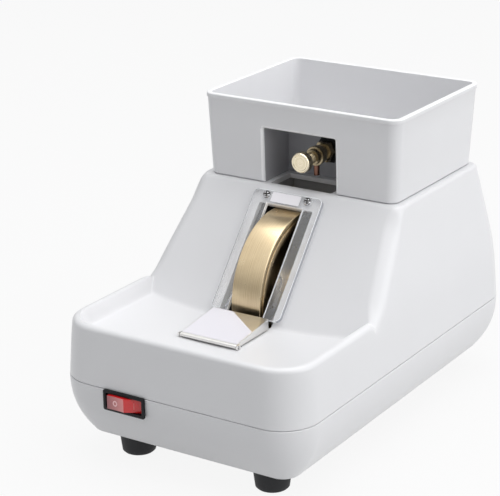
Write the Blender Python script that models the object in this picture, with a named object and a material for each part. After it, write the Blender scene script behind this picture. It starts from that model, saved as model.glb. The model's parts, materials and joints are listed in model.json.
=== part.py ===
"""Hand lens edger: a bench grinder with a water tank that drips on a diamond wheel.

Metres, +Z up. The front faces -Y. The shells are drawn from the front face (y = 0),
the middle plane (x = 0) and the parting line between tray and housing (z = 0), and an
empty then puts that frame into the part's own, whose origin is the middle of the
footprint at the level of the feet's undersides.
"""
import math

import bmesh
import bpy
from mathutils import Matrix, Vector

# Clearances and general values
GAP = 0.0003
OVERRUN = 0.002
WALL = 0.003
ROUND_STEPS = 18
SMALL_STEPS = 8
WHEEL_STEPS = 40
TRAY_STEPS = 5
HEAD_CROWN_SHARE = 0.72
DRILL_TURN = math.radians(7)
CORNER_NAMES = ("front_left", "front_right", "rear_left", "rear_right")

# Base tray
BODY_WIDTH = 0.175
BODY_DEPTH = 0.280
CORNER_RADIUS = 0.025
TRAY_HEIGHT = 0.0377
TRAY_TUCK = 0.0151
TRAY_TUCK_POWER = 2.3
TRAY_EDGE_ROUND = 0.0025
LIP_HEIGHT = 0.003
LIP_THICKNESS = 0.0012

# Feet
FOOT_HEIGHT = 0.0162
FOOT_TOP_RADIUS = 0.0124
FOOT_BOTTOM_RADIUS = 0.0105
FOOT_IN = 0.0382
FOOT_REAR_IN = 0.0445
FOOT_Y = 0.0339
FOOT_SCREW_RADIUS = 0.0016
FOOT_SCREW_HEAD_RADIUS = 0.0032
FOOT_SCREW_HEAD = 0.0024
FOOT_COUNTERBORE_RADIUS = 0.0045
FOOT_WEB = 0.005

# Upper housing
RIM_HEIGHT = 0.0372
RIM_INSET = 0.0019
RIM_ROUND = 0.003
RIM_CREST = 0.0012
RIM_SLOPE = 0.005
DECK_HEIGHT = 0.0231
DISH_RISE = 0.0058
DECK_FILLET = 0.004
TOP_SIDE_INSET = 0.0131
TOP_BACK_INSET = 0.022
TOP_CORNER_RADIUS = 0.010
TOP_ROUND = 0.0022
WALL_BEND = 0.008
PANEL_SLOPE = math.radians(50.0)
PANEL_CORNER = 0.0095
HOUSING_BOSS_RADIUS = 0.0045
HOUSING_BOSS_IN = 0.0245
REAR_BOSS_HEIGHT = 0.030

# Grinding wheel and its axis
WHEEL_X = -0.003
WHEEL_Y = 0.1369
WHEEL_PROUD = 0.015712
WHEEL_RADIUS = 0.050
WHEEL_WIDTH = 0.0208
WHEEL_BAND = 0.004
WHEEL_LINING = 0.0035
WHEEL_WEB = 0.006
WHEEL_HUB_RADIUS = 0.016
WHEEL_HUB_WIDTH = 0.014
SHAFT_RADIUS = 0.004
FLANGE_RADIUS = 0.013
FLANGE_THICKNESS = 0.0025
SHAFT_COLLAR_RADIUS = 0.006
WHEEL_NUT_WIDTH = 0.013
WHEEL_NUT_HEIGHT = 0.0055

# Wheel window in the panel and the deck
WINDOW_HALF_WIDTH = 0.0198
WINDOW_TOP = 0.0131
DECK_SLOT_HALF_WIDTH = 0.0175
DECK_SLOT_FRONT = 0.060

# Clear splash guard
GUARD_HALF_WIDTH = 0.0255
GUARD_TOP = 0.0042
GUARD_FOOT_GAP = 0.0041
GUARD_THICKNESS = 0.0028
GUARD_CORNER = 0.004
GUARD_SLOT_HALF_WIDTH = 0.0133
GUARD_SLOT_TOP = 0.0131
GUARD_SCREW_X = 0.0151
GUARD_SCREW_INSET = 0.0036
GUARD_SCREW_RADIUS = 0.0013
GUARD_SCREW_HEAD_RADIUS = 0.0026
GUARD_SCREW_HEAD = 0.0017

# Hinged lens rest
REST_HALF_WIDTH = 0.02035
REST_FRONT_Y = 0.0455
REST_BACK_Y = 0.0815
REST_BACK_HEIGHT = 0.0310
REST_SHEET = 0.0010
REST_KNUCKLE_RADIUS = 0.0013
REST_PIN_RADIUS = 0.0007
REST_FLOOR_GAP = 0.0007
HINGE_EAR = 0.0010
HINGE_LEAF_DEPTH = 0.0095
HINGE_LEAF_SHEET = 0.0006
HINGE_STUD_RADIUS = 0.0009
HINGE_STUD_X = 0.011

# Wheel chamber
CHAMBER_WALL = 0.0018
CHAMBER_HALF_WIDTH = 0.0175
CHAMBER_CLEARANCE = 0.0045
CHAMBER_FRONT_Y = 0.057
CHAMBER_HEADROOM = 0.0061
CHAMBER_FLOOR_ROOM = 0.0102
CHAMBER_FRONT_DROP = 0.006
CHAMBER_FRONT_ANGLE = math.radians(205.0)
HOPPER_HALF_WIDTH = 0.0230
HOPPER_MARGIN = 0.0043
HOPPER_DEPTH = 0.0125
CHAMBER_LEG_WIDTH = 0.006
CHAMBER_LEG_REACH = 0.018
DRAIN_RADIUS = 0.0045
DRAIN_BORE = 0.0032
DRAIN_LENGTH = 0.045
HOSE_WALL = 0.0014
HOSE_GRIP = 0.009
BARB_SHARE = 0.83

# Water tank
TANK_SIDE_IN = 0.0051
TANK_FRONT_IN = 0.0027
TANK_BACK_IN = 0.0030
TANK_HEIGHT = 0.0545
TANK_FLARE = 0.0019
TANK_CORNER = 0.0075
TANK_WALL = 0.0026
TANK_FLOOR = 0.003
TANK_RIM_HEIGHT = 0.0032
TANK_RIM_PROUD = 0.0007
BAY_HALF_WIDTH = 0.0265
BAY_HEIGHT = 0.0362
BAY_DEPTH = 0.0305
TANK_PEG_RADIUS = 0.0025
TANK_PEG_IN = 0.013
CHUTE_HALF_WIDTH = 0.0226
CHUTE_DEPTH = 0.0245
CHUTE_LIP = 0.0015

# Drip valve
VALVE_X = 0.0063
VALVE_RISE = 0.0200
VALVE_BODY_RADIUS = 0.0050
VALVE_BODY_LENGTH = 0.0215
VALVE_SHANK_RADIUS = 0.0047
VALVE_HEX_WIDTH = 0.0125
VALVE_HEX_LENGTH = 0.0055
VALVE_NUT_WIDTH = 0.0160
VALVE_NUT_LENGTH = 0.0045
VALVE_WASHER = 0.0012
VALVE_RING_RADIUS = 0.0063
VALVE_RING_LENGTH = 0.0050
NEEDLE_RADIUS = 0.0017
NEEDLE_TIP = 0.004
NEEDLE_PORT_DEPTH = 0.00306
VALVE_NECK_RADIUS = 0.0036
VALVE_NECK_LENGTH = 0.0075
KNOB_RADIUS = 0.0067
KNOB_LENGTH = 0.0060
KNOB_FACE_RADIUS = 0.0059
KNOB_KNURLS = 24
KNOB_KNURL_DEPTH = 0.0003
PIPE_RADIUS = 0.0019
PIPE_WALL = 0.0005
PIPE_DROP = 0.0080
PIPE_FROM_BACK = 0.0195

# Motor
MOTOR_RADIUS = 0.029
MOTOR_SIDE_ROOM = 0.0117
MOTOR_STANDOFF = 0.002
SHIELD_THICKNESS = 0.003
BEARING_RADIUS = 0.011
BEARING_WIDTH = 0.007
BEARING_SEAT_WALL = 0.0025
ROTOR_RADIUS = 0.016
ROTOR_END_ROOM = 0.009
MOUNT_SHEET = 0.003
MOUNT_FOOT = 0.044
MOUNT_CLEARANCE = 0.009
SEAL_WIDTH = 0.0036

# Run capacitor
CAPACITOR_RADIUS = 0.014
CAPACITOR_LENGTH = 0.048
CAPACITOR_SIDE_ROOM = 0.0115
CAPACITOR_Y = 0.112
CLIP_SHEET = 0.001
CLIP_WIDTH = 0.012
CLIP_TAB = 0.006

# Rocker switch
SWITCH_IN = 0.05415
SWITCH_Z = -0.00585
SWITCH_WIDTH = 0.0303
SWITCH_HEIGHT = 0.0133
SWITCH_FRAME = 0.0018
SWITCH_CORNER = 0.0012
SWITCH_BODY_WIDTH = 0.0272
SWITCH_BODY_HEIGHT = 0.0112
SWITCH_BODY_DEPTH = 0.021
SWITCH_BORDER = 0.0020
ROCKER_WELL = 0.009
ROCKER_TILT = math.radians(12.0)
ROCKER_PROUD = 0.0022
ROCKER_PIVOT_DEPTH = 0.0035
ROCKER_SKIRT_SHARE = 0.95
TERMINAL_WIDTH = 0.0048
TERMINAL_SHEET = 0.0008
TERMINAL_LENGTH = 0.008
TERMINAL_PITCH = 0.008

# Mains inlet
INLET_IN = 0.0415
INLET_Z = 0.0185
INLET_PLATE_WIDTH = 0.048
INLET_PLATE_HEIGHT = 0.0225
INLET_PLATE = 0.0025
INLET_BODY_WIDTH = 0.0275
INLET_BODY_HEIGHT = 0.0198
INLET_BODY_DEPTH = 0.020
INLET_SOCKET_WIDTH = 0.0242
INLET_SOCKET_HEIGHT = 0.0160
INLET_SOCKET_DEPTH = 0.0165
INLET_SCREW_X = 0.020
INLET_SCREW_RADIUS = 0.0014
INLET_SCREW_HEAD_RADIUS = 0.0027
PIN_WIDTH = 0.0040
PIN_THICKNESS = 0.0020
PIN_LENGTH = 0.0145
PIN_PITCH = 0.007
PIN_STEP = 0.004

# Drain spout
SPOUT_LENGTH = 0.010
SPOUT_RADIUS = 0.0054
SPOUT_BORE = 0.0031
SPOUT_FLANGE_RADIUS = 0.0085
SPOUT_FLANGE = 0.002

# Fasteners
HOUSING_SCREW_RADIUS = 0.0017
HOUSING_SCREW_HEAD_RADIUS = 0.0034
HOUSING_SCREW_HEAD = 0.0022
HOUSING_SCREW_LENGTH = 0.018
VENT_COUNT = 7
VENT_WIDTH = 0.0030
VENT_LENGTH = 0.034
VENT_PITCH = 0.0065

# Places worked out from the sizes above
HALF_WIDTH = BODY_WIDTH / 2
PARTING_Z = FOOT_HEIGHT + TRAY_HEIGHT
FLOOR_Z = WALL - TRAY_HEIGHT
PANEL_TAN = math.tan(PANEL_SLOPE)
PANEL_SIN = math.sin(PANEL_SLOPE)
PANEL_COS = math.cos(PANEL_SLOPE)
CHAMBER_RADIUS = WHEEL_RADIUS + CHAMBER_CLEARANCE
CHAMBER_OUTER_RADIUS = CHAMBER_RADIUS + CHAMBER_WALL
CHAMBER_OUTER_HALF = CHAMBER_HALF_WIDTH + CHAMBER_WALL
WHEEL_Z = FLOOR_Z + CHAMBER_FLOOR_ROOM + CHAMBER_OUTER_RADIUS
TOP_HEIGHT = WHEEL_Z + CHAMBER_OUTER_RADIUS + CHAMBER_HEADROOM
TOP_HALF_WIDTH = HALF_WIDTH - TOP_SIDE_INSET
PANEL_TOP_Y = WHEEL_Y - (WHEEL_RADIUS - WHEEL_PROUD - (TOP_HEIGHT - WHEEL_Z) * PANEL_COS) / PANEL_SIN
PANEL_LENGTH = (TOP_HEIGHT - DECK_HEIGHT) / PANEL_SIN
GUARD_LENGTH = PANEL_LENGTH - GUARD_TOP - GUARD_FOOT_GAP
DECK_UNDER_Z = DECK_HEIGHT - WALL
TOP_UNDER_Z = TOP_HEIGHT - WALL
TANK_Z = TOP_HEIGHT + GAP
TANK_HALF_WIDTH = TOP_HALF_WIDTH - TANK_SIDE_IN
TANK_FRONT_Y = PANEL_TOP_Y + TANK_FRONT_IN
TANK_BACK_Y = BODY_DEPTH - TOP_BACK_INSET - TANK_BACK_IN
BAY_BACK_Y = TANK_FRONT_Y + BAY_DEPTH
HOPPER_BACK_Y = TANK_FRONT_Y + CHUTE_LIP + CHUTE_DEPTH + HOPPER_MARGIN
VALVE_Z = TANK_Z + VALVE_RISE
MOTOR_START = CHAMBER_OUTER_HALF + MOTOR_STANDOFF
MOTOR_ENDS = MOTOR_START + SHIELD_THICKNESS * 2 + BEARING_SEAT_WALL
MOTOR_LENGTH = HALF_WIDTH - WALL - MOTOR_SIDE_ROOM - WHEEL_X - MOTOR_ENDS
ROTOR_LENGTH = MOTOR_LENGTH - ROTOR_END_ROOM * 2
FOOT_X = HALF_WIDTH - FOOT_IN
FOOT_REAR_X = HALF_WIDTH - FOOT_REAR_IN
CAPACITOR_X = CHAMBER_OUTER_HALF - WHEEL_X + CAPACITOR_SIDE_ROOM + CAPACITOR_RADIUS
SWITCH_X = SWITCH_IN - HALF_WIDTH
INLET_X = INLET_IN - HALF_WIDTH


def clear_scene():
    """Take away whatever the file opened with."""
    for item in list(bpy.data.objects):
        bpy.data.objects.remove(item, do_unlink=True)


def make_material(name, colour, roughness, metallic=0.0, transmission=0.0):
    """One Principled material."""
    material = bpy.data.materials.new(name)
    material.use_nodes = True
    shader = material.node_tree.nodes["Principled BSDF"]
    shader.inputs["Base Color"].default_value = (*colour, 1.0)
    shader.inputs["Roughness"].default_value = roughness
    shader.inputs["Metallic"].default_value = metallic
    shader.inputs["Transmission Weight"].default_value = transmission
    return material


def make_materials():
    """Every finish of the edger, by name."""
    return {
        "shell": make_material("shell_grey", (0.76, 0.76, 0.78), 0.38),
        "dark": make_material("dark_plastic", (0.10, 0.10, 0.11), 0.55),
        "clear": make_material("clear_acrylic", (0.95, 0.96, 0.97), 0.05, 0.0, 0.9),
        "steel": make_material("stainless_steel", (0.62, 0.61, 0.60), 0.18, 1.0),
        "screw": make_material("plated_steel", (0.66, 0.66, 0.66), 0.28, 1.0),
        "bronze": make_material("bronze_bond", (0.60, 0.47, 0.27), 0.30, 1.0),
        "brass": make_material("turned_brass", (0.66, 0.52, 0.27), 0.24, 1.0),
        "copper": make_material("copper_tube", (0.55, 0.28, 0.18), 0.30, 1.0),
        "aluminium": make_material("aluminium", (0.60, 0.60, 0.62), 0.35, 1.0),
        "rubber": make_material("black_rubber", (0.03, 0.03, 0.03), 0.75),
        "nylon": make_material("black_nylon", (0.04, 0.04, 0.045), 0.45),
        "red": make_material("red_lens", (0.72, 0.04, 0.04), 0.20, 0.0, 0.2),
        "motor": make_material("motor_paint", (0.14, 0.15, 0.16), 0.50, 0.3),
        "film": make_material("capacitor_case", (0.80, 0.80, 0.78), 0.45),
    }


def finish(name, bm, material, parent, location=(0, 0, 0), smooth=math.radians(32)):
    """Turn a bmesh into a named object with its material."""
    bmesh.ops.recalc_face_normals(bm, faces=bm.faces)
    mesh = bpy.data.meshes.new(name)
    bm.to_mesh(mesh)
    bm.free()
    mesh.shade_smooth()
    mesh.set_sharp_from_angle(angle=smooth)
    if material is not None:
        mesh.materials.append(material)
    item = bpy.data.objects.new(name, mesh)
    bpy.context.scene.collection.objects.link(item)
    item.parent = parent
    item.location = location
    return item


def make_empty(name, parent, location, turn=(0, 0, 0)):
    """A frame that other pieces are placed in."""
    item = bpy.data.objects.new(name, None)
    bpy.context.scene.collection.objects.link(item)
    item.parent = parent
    item.location = location
    item.rotation_euler = turn
    return item


def combine(target, other, operation):
    """Boolean the hidden object into the target."""
    other.hide_render = True
    other.display_type = "WIRE"
    change = target.modifiers.new(other.name, "BOOLEAN")
    change.operation = operation
    change.object = other
    change.solver = "EXACT"


def cut(target, bm, name, location=None, parent=None):
    """Take a shape out of the target; it lies where the target lies unless a place is given."""
    tool = finish(target.name + "_" + name, bm, None, parent or target.parent, location or target.location)
    combine(target, tool, "DIFFERENCE")


def join(target, bm, name, location=None, parent=None):
    """Add a shape to the target; it lies where the target lies unless a place is given."""
    tool = finish(target.name + "_" + name, bm, None, parent or target.parent, location or target.location)
    combine(target, tool, "UNION")


def loft(rings, closed_ends=True, loop=False):
    """Skin a list of rings that have the same number of points."""
    bm = bmesh.new()
    rows = [[bm.verts.new(point) for point in ring] for ring in rings]
    count = len(rows[0])
    pairs = list(zip(rows, rows[1:]))
    if loop:
        pairs.append((rows[-1], rows[0]))
    for lower, upper in pairs:
        for i in range(count):
            j = (i + 1) % count
            bm.faces.new((lower[i], lower[j], upper[j], upper[i]))
    if closed_ends and not loop:
        bm.faces.new(list(reversed(rows[0])))
        bm.faces.new(rows[-1])
    return bm


def box(x0, x1, y0, y1, z0, z1):
    """A plain block between two corners."""
    rings = [[(x0, y0, z), (x1, y0, z), (x1, y1, z), (x0, y1, z)] for z in (z0, z1)]
    return loft(rings)


def prism(outline, z0, z1):
    """A flat outline raised from z0 to z1."""
    return loft([[(x, y, z) for x, y in outline] for z in (z0, z1)])


def rounded_rectangle(x0, x1, y0, y1, radius, steps=4):
    """Points of a rectangle with round corners, counter-clockwise."""
    points = []
    centres = ((x1 - radius, y0 + radius, -90), (x1 - radius, y1 - radius, 0),
               (x0 + radius, y1 - radius, 90), (x0 + radius, y0 + radius, 180))
    for cx, cy, start in centres:
        for i in range(steps + 1):
            angle = math.radians(start + 90 * i / steps)
            points.append((cx + radius * math.cos(angle), cy + radius * math.sin(angle)))
    return points


def circle(radius, steps, start=0):
    """Points of a circle, the first at the start angle."""
    turns = [start + 2 * math.pi * i / steps for i in range(steps)]
    return [(radius * math.cos(a), radius * math.sin(a)) for a in turns]


def hexagon(width, steps_per_side=1):
    """Points of a hexagon given across its flats."""
    corners = [(width / math.sqrt(3) * math.cos(math.radians(60 * i)),
                width / math.sqrt(3) * math.sin(math.radians(60 * i))) for i in range(6)]
    points = []
    for i in range(6):
        ax, ay = corners[i]
        bx, by = corners[(i + 1) % 6]
        for k in range(steps_per_side):
            share = k / steps_per_side
            points.append((ax + (bx - ax) * share, ay + (by - ay) * share))
    return points


def revolve(profile, steps=ROUND_STEPS, start=0):
    """Turn a closed profile of (radius, height) points round the Z axis."""
    bm = bmesh.new()
    rows = []
    for radius, height in profile:
        if radius == 0:
            rows.append([bm.verts.new((0, 0, height))])
        else:
            rows.append([bm.verts.new((x, y, height)) for x, y in circle(radius, steps, start)])
    for a, b in zip(rows, rows[1:] + rows[:1]):
        if len(a) == 1 and len(b) == 1:
            continue
        for i in range(steps):
            j = (i + 1) % steps
            if len(a) == 1:
                bm.faces.new((a[0], b[j], b[i]))
            elif len(b) == 1:
                bm.faces.new((a[i], a[j], b[0]))
            else:
                bm.faces.new((a[i], a[j], b[j], b[i]))
    return bm


def turned(bm, axis):
    """Turn a shape made round Z so that its Z runs along another axis."""
    turns = {"X": Matrix.Rotation(math.radians(90), 4, "Y"),
             "-X": Matrix.Rotation(math.radians(-90), 4, "Y"),
             "Y": Matrix.Rotation(math.radians(-90), 4, "X"),
             "-Y": Matrix.Rotation(math.radians(90), 4, "X"),
             "-Z": Matrix.Rotation(math.radians(180), 4, "X"),
             "Z": Matrix.Identity(4)}
    bm.transform(turns[axis])
    return bm


def rod(radius, z0, z1, steps=ROUND_STEPS):
    """A plain round bar along Z."""
    return revolve([(0, z0), (radius, z0), (radius, z1), (0, z1)], steps)


def drill(radius, z0, z1, steps=ROUND_STEPS):
    """A round cutter along Z, its corners turned away from those of the boss round it."""
    return revolve([(0, z0), (radius, z0), (radius, z1), (0, z1)], steps, DRILL_TURN)


def sleeve(outer, inner, z0, z1, steps=ROUND_STEPS):
    """A round tube along Z."""
    return revolve([(inner, z0), (outer, z0), (outer, z1), (inner, z1)], steps)


def nut(width, bore, z0, z1):
    """A hexagon nut along Z with a plain bore."""
    outer = hexagon(width, 4)
    inner = circle(bore, len(outer))
    rings = [[(x, y, z) for x, y in outline]
             for outline, z in ((inner, z0), (outer, z0), (outer, z1), (inner, z1))]
    return loft(rings, loop=True)


def pan_screw(shank, head, head_height, length, steps=SMALL_STEPS):
    """A pan-head screw along Z whose head rests on z = 0 and whose shank goes down from it."""
    profile = [(0, -length), (shank, -length), (shank, 0), (head, 0), (head, head_height / 2),
               (head * HEAD_CROWN_SHARE, head_height), (0, head_height)]
    return revolve(profile, steps, DRILL_TURN)


def smooth_max(a, b, width):
    """The larger of two values, rounded off where they are closer than the width."""
    share = max(width - abs(a - b), 0) / width
    return max(a, b) + share * share * width / 4


def smooth_min(a, b, width):
    """The smaller of two values, rounded off where they are closer than the width."""
    return -smooth_max(-a, -b, width)


def ease(t):
    """A smooth step from 0 to 1."""
    t = min(max(t, 0.0), 1.0)
    return t * t * (3 - 2 * t)


def bend(z):
    """How far past the wall's bend a height is, eased in over the bend."""
    over = z - RIM_HEIGHT
    full = TOP_HEIGHT - RIM_HEIGHT
    eased = (over + math.hypot(over, WALL_BEND)) / 2
    return eased * full / ((full + math.hypot(full, WALL_BEND)) / 2)


def side_inset(z):
    """How far the side walls have leaned in at a height."""
    lean = (HALF_WIDTH - TOP_HALF_WIDTH - RIM_INSET) / (TOP_HEIGHT - RIM_HEIGHT)
    return RIM_INSET * min(z, RIM_HEIGHT) / RIM_HEIGHT + lean * bend(z)


def back_inset(z):
    """How far the back wall has leaned in at a height."""
    lean = (TOP_BACK_INSET - RIM_INSET) / (TOP_HEIGHT - RIM_HEIGHT)
    return RIM_INSET * min(z, RIM_HEIGHT) / RIM_HEIGHT + lean * bend(z)


def deck_height(x):
    """The dished deck, lowest in the middle."""
    return DECK_HEIGHT + DISH_RISE * (x / HALF_WIDTH) ** 2


def panel_height(y):
    """The sloping panel behind the deck."""
    return TOP_HEIGHT - (PANEL_TOP_Y - y) * PANEL_TAN


def deck_end(x):
    """Where the deck meets the panel."""
    return PANEL_TOP_Y - (TOP_HEIGHT - deck_height(x)) / PANEL_TAN


class Skin:
    """One skin of the upper housing: the outer one, or the one that bounds its hollow."""

    def __init__(self, inset, steps, wall_shares):
        self.inset = inset
        self.steps = steps
        self.wall_shares = wall_shares
        self.stations = self.make_stations()

    def side_places(self):
        """Places along a side wall, closer together where the rim ends and at the panel's top."""
        rim_end = PANEL_TOP_Y - (TOP_HEIGHT - RIM_HEIGHT) / PANEL_TAN
        keys = [CORNER_RADIUS, deck_end(0) - DECK_FILLET, rim_end + DECK_FILLET,
                PANEL_TOP_Y - TOP_ROUND, PANEL_TOP_Y + PANEL_CORNER, BODY_DEPTH - CORNER_RADIUS]
        places = [keys[0]]
        for start, end, count in zip(keys, keys[1:], self.steps["side"]):
            places += [start + (end - start) * (i + 1) / count for i in range(count)]
        return places

    def make_stations(self):
        """Every station round the plan: a kind and where it lies, from the front-left corner's middle."""
        arc = self.steps["arc"]
        end = self.steps["end"]
        side = self.side_places()
        stations = [("front_left", 225 + 45 * i / (arc // 2)) for i in range(arc // 2)]
        stations += [("front", -1 + 2 * i / end) for i in range(end)]
        stations += [("front_right", -90 + 90 * i / arc) for i in range(arc)]
        stations += [("right", y) for y in side[:-1]]
        stations += [("back_right", 90 * i / arc) for i in range(arc)]
        stations += [("back", 1 - 2 * i / end) for i in range(end)]
        stations += [("back_left", 90 + 90 * i / arc) for i in range(arc)]
        stations += [("left", y) for y in reversed(side[1:])]
        stations += [("front_left", 180 + 45 * i / (arc // 2)) for i in range(arc // 2)]
        return stations

    def place(self, station, z, extra):
        """The plan point of a station at a height, moved in from the wall."""
        kind, at = station
        inset = self.inset + extra
        half = HALF_WIDTH - side_inset(z) - inset
        front = RIM_INSET * min(z, RIM_HEIGHT) / RIM_HEIGHT + inset
        back = BODY_DEPTH - back_inset(z) - inset
        front_radius = CORNER_RADIUS - inset
        lean_share = bend(z) / (TOP_HEIGHT - RIM_HEIGHT)
        back_radius = CORNER_RADIUS + (TOP_CORNER_RADIUS - CORNER_RADIUS) * lean_share - inset
        if kind == "front":
            return at * (half - front_radius), front
        if kind == "back":
            return at * (half - back_radius), back
        if kind in ("right", "left"):
            side = 1 if kind == "right" else -1
            start = PANEL_TOP_Y + PANEL_CORNER
            if at > start:
                share = (at - start) / (BODY_DEPTH - CORNER_RADIUS - start)
                at = start + share * (back - back_radius - start)
            if at <= CORNER_RADIUS:
                at = front + front_radius
            return side * half, at
        radius = front_radius if kind.startswith("front") else back_radius
        cx = (half - radius) * (1 if kind.endswith("right") else -1)
        cy = front + radius if kind.startswith("front") else back - radius
        angle = math.radians(at)
        return cx + radius * math.cos(angle), cy + radius * math.sin(angle)

    def roof(self, x, y, offset):
        """The height of the top surface, where offset is the distance from the wall's line."""
        deck = deck_height(x)
        panel = panel_height(y)
        top = TOP_HEIGHT
        if self.inset > 0:
            deck -= WALL
            panel -= WALL * PANEL_TAN / PANEL_SIN
            top -= WALL
        else:
            start = RIM_ROUND + RIM_CREST
            deck += (RIM_HEIGHT - deck) * ease(1 - (offset - start) / RIM_SLOPE)
        return smooth_min(top, smooth_max(deck, panel, DECK_FILLET), TOP_ROUND)

    def edge_round(self, station):
        """Width and height of the rounding between the wall and the top surface."""
        kind, at = station
        if kind.startswith("front"):
            size = (RIM_ROUND, RIM_ROUND)
        elif kind.startswith("back"):
            size = (TOP_ROUND, TOP_ROUND)
        else:
            rim_end = PANEL_TOP_Y - (TOP_HEIGHT - RIM_HEIGHT) / PANEL_TAN
            grown = ease((at - rim_end + PANEL_CORNER) / (2 * PANEL_CORNER))
            done = ease((at - PANEL_TOP_Y + PANEL_CORNER) / (2 * PANEL_CORNER))
            wide = PANEL_CORNER * (1 - done) + TOP_ROUND * done
            tall = PANEL_CORNER * math.sqrt(1 + PANEL_TAN ** 2) * (1 - done) + TOP_ROUND * done
            size = (RIM_ROUND + (wide - RIM_ROUND) * grown, RIM_ROUND + (tall - RIM_ROUND) * grown)
        if self.inset > 0:
            return max(size[0] - WALL, GAP), max(size[1] - 2 * WALL, GAP)
        return size

    def crest(self, station):
        """The height at which the top surface ends, at the inner side of the edge's rounding."""
        wide = self.edge_round(station)[0]
        height = RIM_HEIGHT
        for _ in range(4):
            x, y = self.place(station, height, wide)
            height = self.roof(x, y, wide)
        return height

    def rings(self, bottom):
        """Closed rings from the bottom of the wall, over the edge and in past the rim."""
        crests = [self.crest(station) for station in self.stations]
        rounds = [self.edge_round(station) for station in self.stations]
        rings = []
        for share in self.wall_shares:
            ring = []
            for station, crest, (wide, tall) in zip(self.stations, crests, rounds):
                z = bottom + (crest - tall - bottom) * share
                ring.append((*self.place(station, z, 0), z))
            rings.append(ring)
        steps = self.steps["edge"]
        for i in range(1, steps + 1):
            angle = math.pi / 2 * i / steps
            ring = []
            for station, crest, (wide, tall) in zip(self.stations, crests, rounds):
                z = crest - tall * (1 - math.sin(angle))
                ring.append((*self.place(station, z, wide * (1 - math.cos(angle))), z))
            rings.append(ring)
        steps = self.steps["rim"]
        for i in range(1, steps + 1):
            ring = []
            for station, crest, (wide, tall) in zip(self.stations, crests, rounds):
                offset = wide + (RIM_CREST + RIM_SLOPE) * i / steps
                x, y = self.place(station, crest, offset)
                ring.append((x, y, self.roof(x, y, offset)))
            rings.append(ring)
        return rings

    def core(self, ring):
        """Rows of points that fill the top inside the last ring, first row at the front."""
        arc = self.steps["arc"]
        columns = self.steps["end"] + arc
        rows = (len(ring) - 2 * columns) // 2
        front = ring[:columns + 1]
        right = ring[columns:columns + rows + 1]
        back = list(reversed(ring[columns + rows:2 * columns + rows + 1]))
        left = [ring[0]] + list(reversed(ring[2 * columns + rows:]))
        reach = 2 * CORNER_RADIUS
        grid = [front]
        for j in range(1, rows):
            row = [left[j]]
            for i in range(1, columns):
                share = (front[i][0] - front[0][0]) / (front[-1][0] - front[0][0])
                x = left[j][0] + (right[j][0] - left[j][0]) * share
                y = left[j][1] + (right[j][1] - left[j][1]) * share
                y_front = front[0][1] + (front[-1][1] - front[0][1]) * share
                y_back = back[0][1] + (back[-1][1] - back[0][1]) * share
                near = max(1 - (y - y_front) / reach, 0) ** 2
                far = max(1 - (y_back - y) / reach, 0) ** 2
                y += (front[i][1] - y_front) * near + (back[i][1] - y_back) * far
                away = abs(y - deck_end(left[j][0])) / CORNER_RADIUS
                y += (deck_end(x) - deck_end(left[j][0])) * max(1 - away, 0)
                row.append((x, y, self.roof(x, y, HALF_WIDTH)))
            row.append(right[j])
            grid.append(row)
        grid.append(back)
        return grid

    def solid(self, bottom):
        """The closed solid under this skin, down to a flat bottom."""
        rings = self.rings(bottom)
        bm = loft(rings, closed_ends=False)
        made = list(bm.verts)
        count = len(self.stations)
        known = dict(zip(rings[-1], made[-count:]))
        grid = [[known[p] if p in known else bm.verts.new(p) for p in row]
                for row in self.core(rings[-1])]
        for a, b in zip(grid, grid[1:]):
            for i in range(len(a) - 1):
                bm.faces.new((a[i], a[i + 1], b[i + 1], b[i]))
        bm.faces.new(list(reversed(made[:count])))
        return bm


OUTER_WALL_SHARES = (0, 0.32, 0.48, 0.72, 1.0)
INNER_WALL_SHARES = (0, 0.40, 1.0)


def tray_tuck(z):
    """How far the tray's walls have tucked in at a height below the parting line."""
    return TRAY_TUCK * (max(-z, 0) / TRAY_HEIGHT) ** TRAY_TUCK_POWER


def tray_rings(inset, top, floor, steps):
    """Rings of the tray from its flat floor up to the parting line, or past it."""
    rings = [(tray_tuck(floor) + inset + TRAY_EDGE_ROUND, floor)]
    knee = floor + TRAY_EDGE_ROUND / 2
    for i in range(steps):
        z = knee * (1 - i / steps)
        rings.append((tray_tuck(z) + inset, z))
    rings.append((inset, top))
    points = []
    for edge, z in rings:
        outline = rounded_rectangle(edge - HALF_WIDTH, HALF_WIDTH - edge, edge, BODY_DEPTH - edge,
                                    CORNER_RADIUS - edge, 6)
        points.append([(x, y, z) for x, y in outline])
    return points


def corner_places(x, near, far, rear_x=None):
    """The four places of a part that repeats at the corners."""
    rear_x = rear_x or x
    return [(-x, near), (x, near), (-rear_x, far), (rear_x, far)]


def feet_places():
    """Middle of each foot."""
    return corner_places(FOOT_X, FOOT_Y, BODY_DEPTH - FOOT_Y, FOOT_REAR_X)


def boss_places():
    """Middle of each screw that holds the housing on the tray."""
    x = HALF_WIDTH - HOUSING_BOSS_IN
    return corner_places(x, HOUSING_BOSS_IN, BODY_DEPTH - HOUSING_BOSS_IN)


def tank_peg_places():
    """Middle of each peg that holds the tank on the housing."""
    x = TANK_HALF_WIDTH - TANK_PEG_IN
    return corner_places(x, TANK_FRONT_Y + TANK_PEG_IN, TANK_BACK_Y - TANK_PEG_IN)


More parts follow.
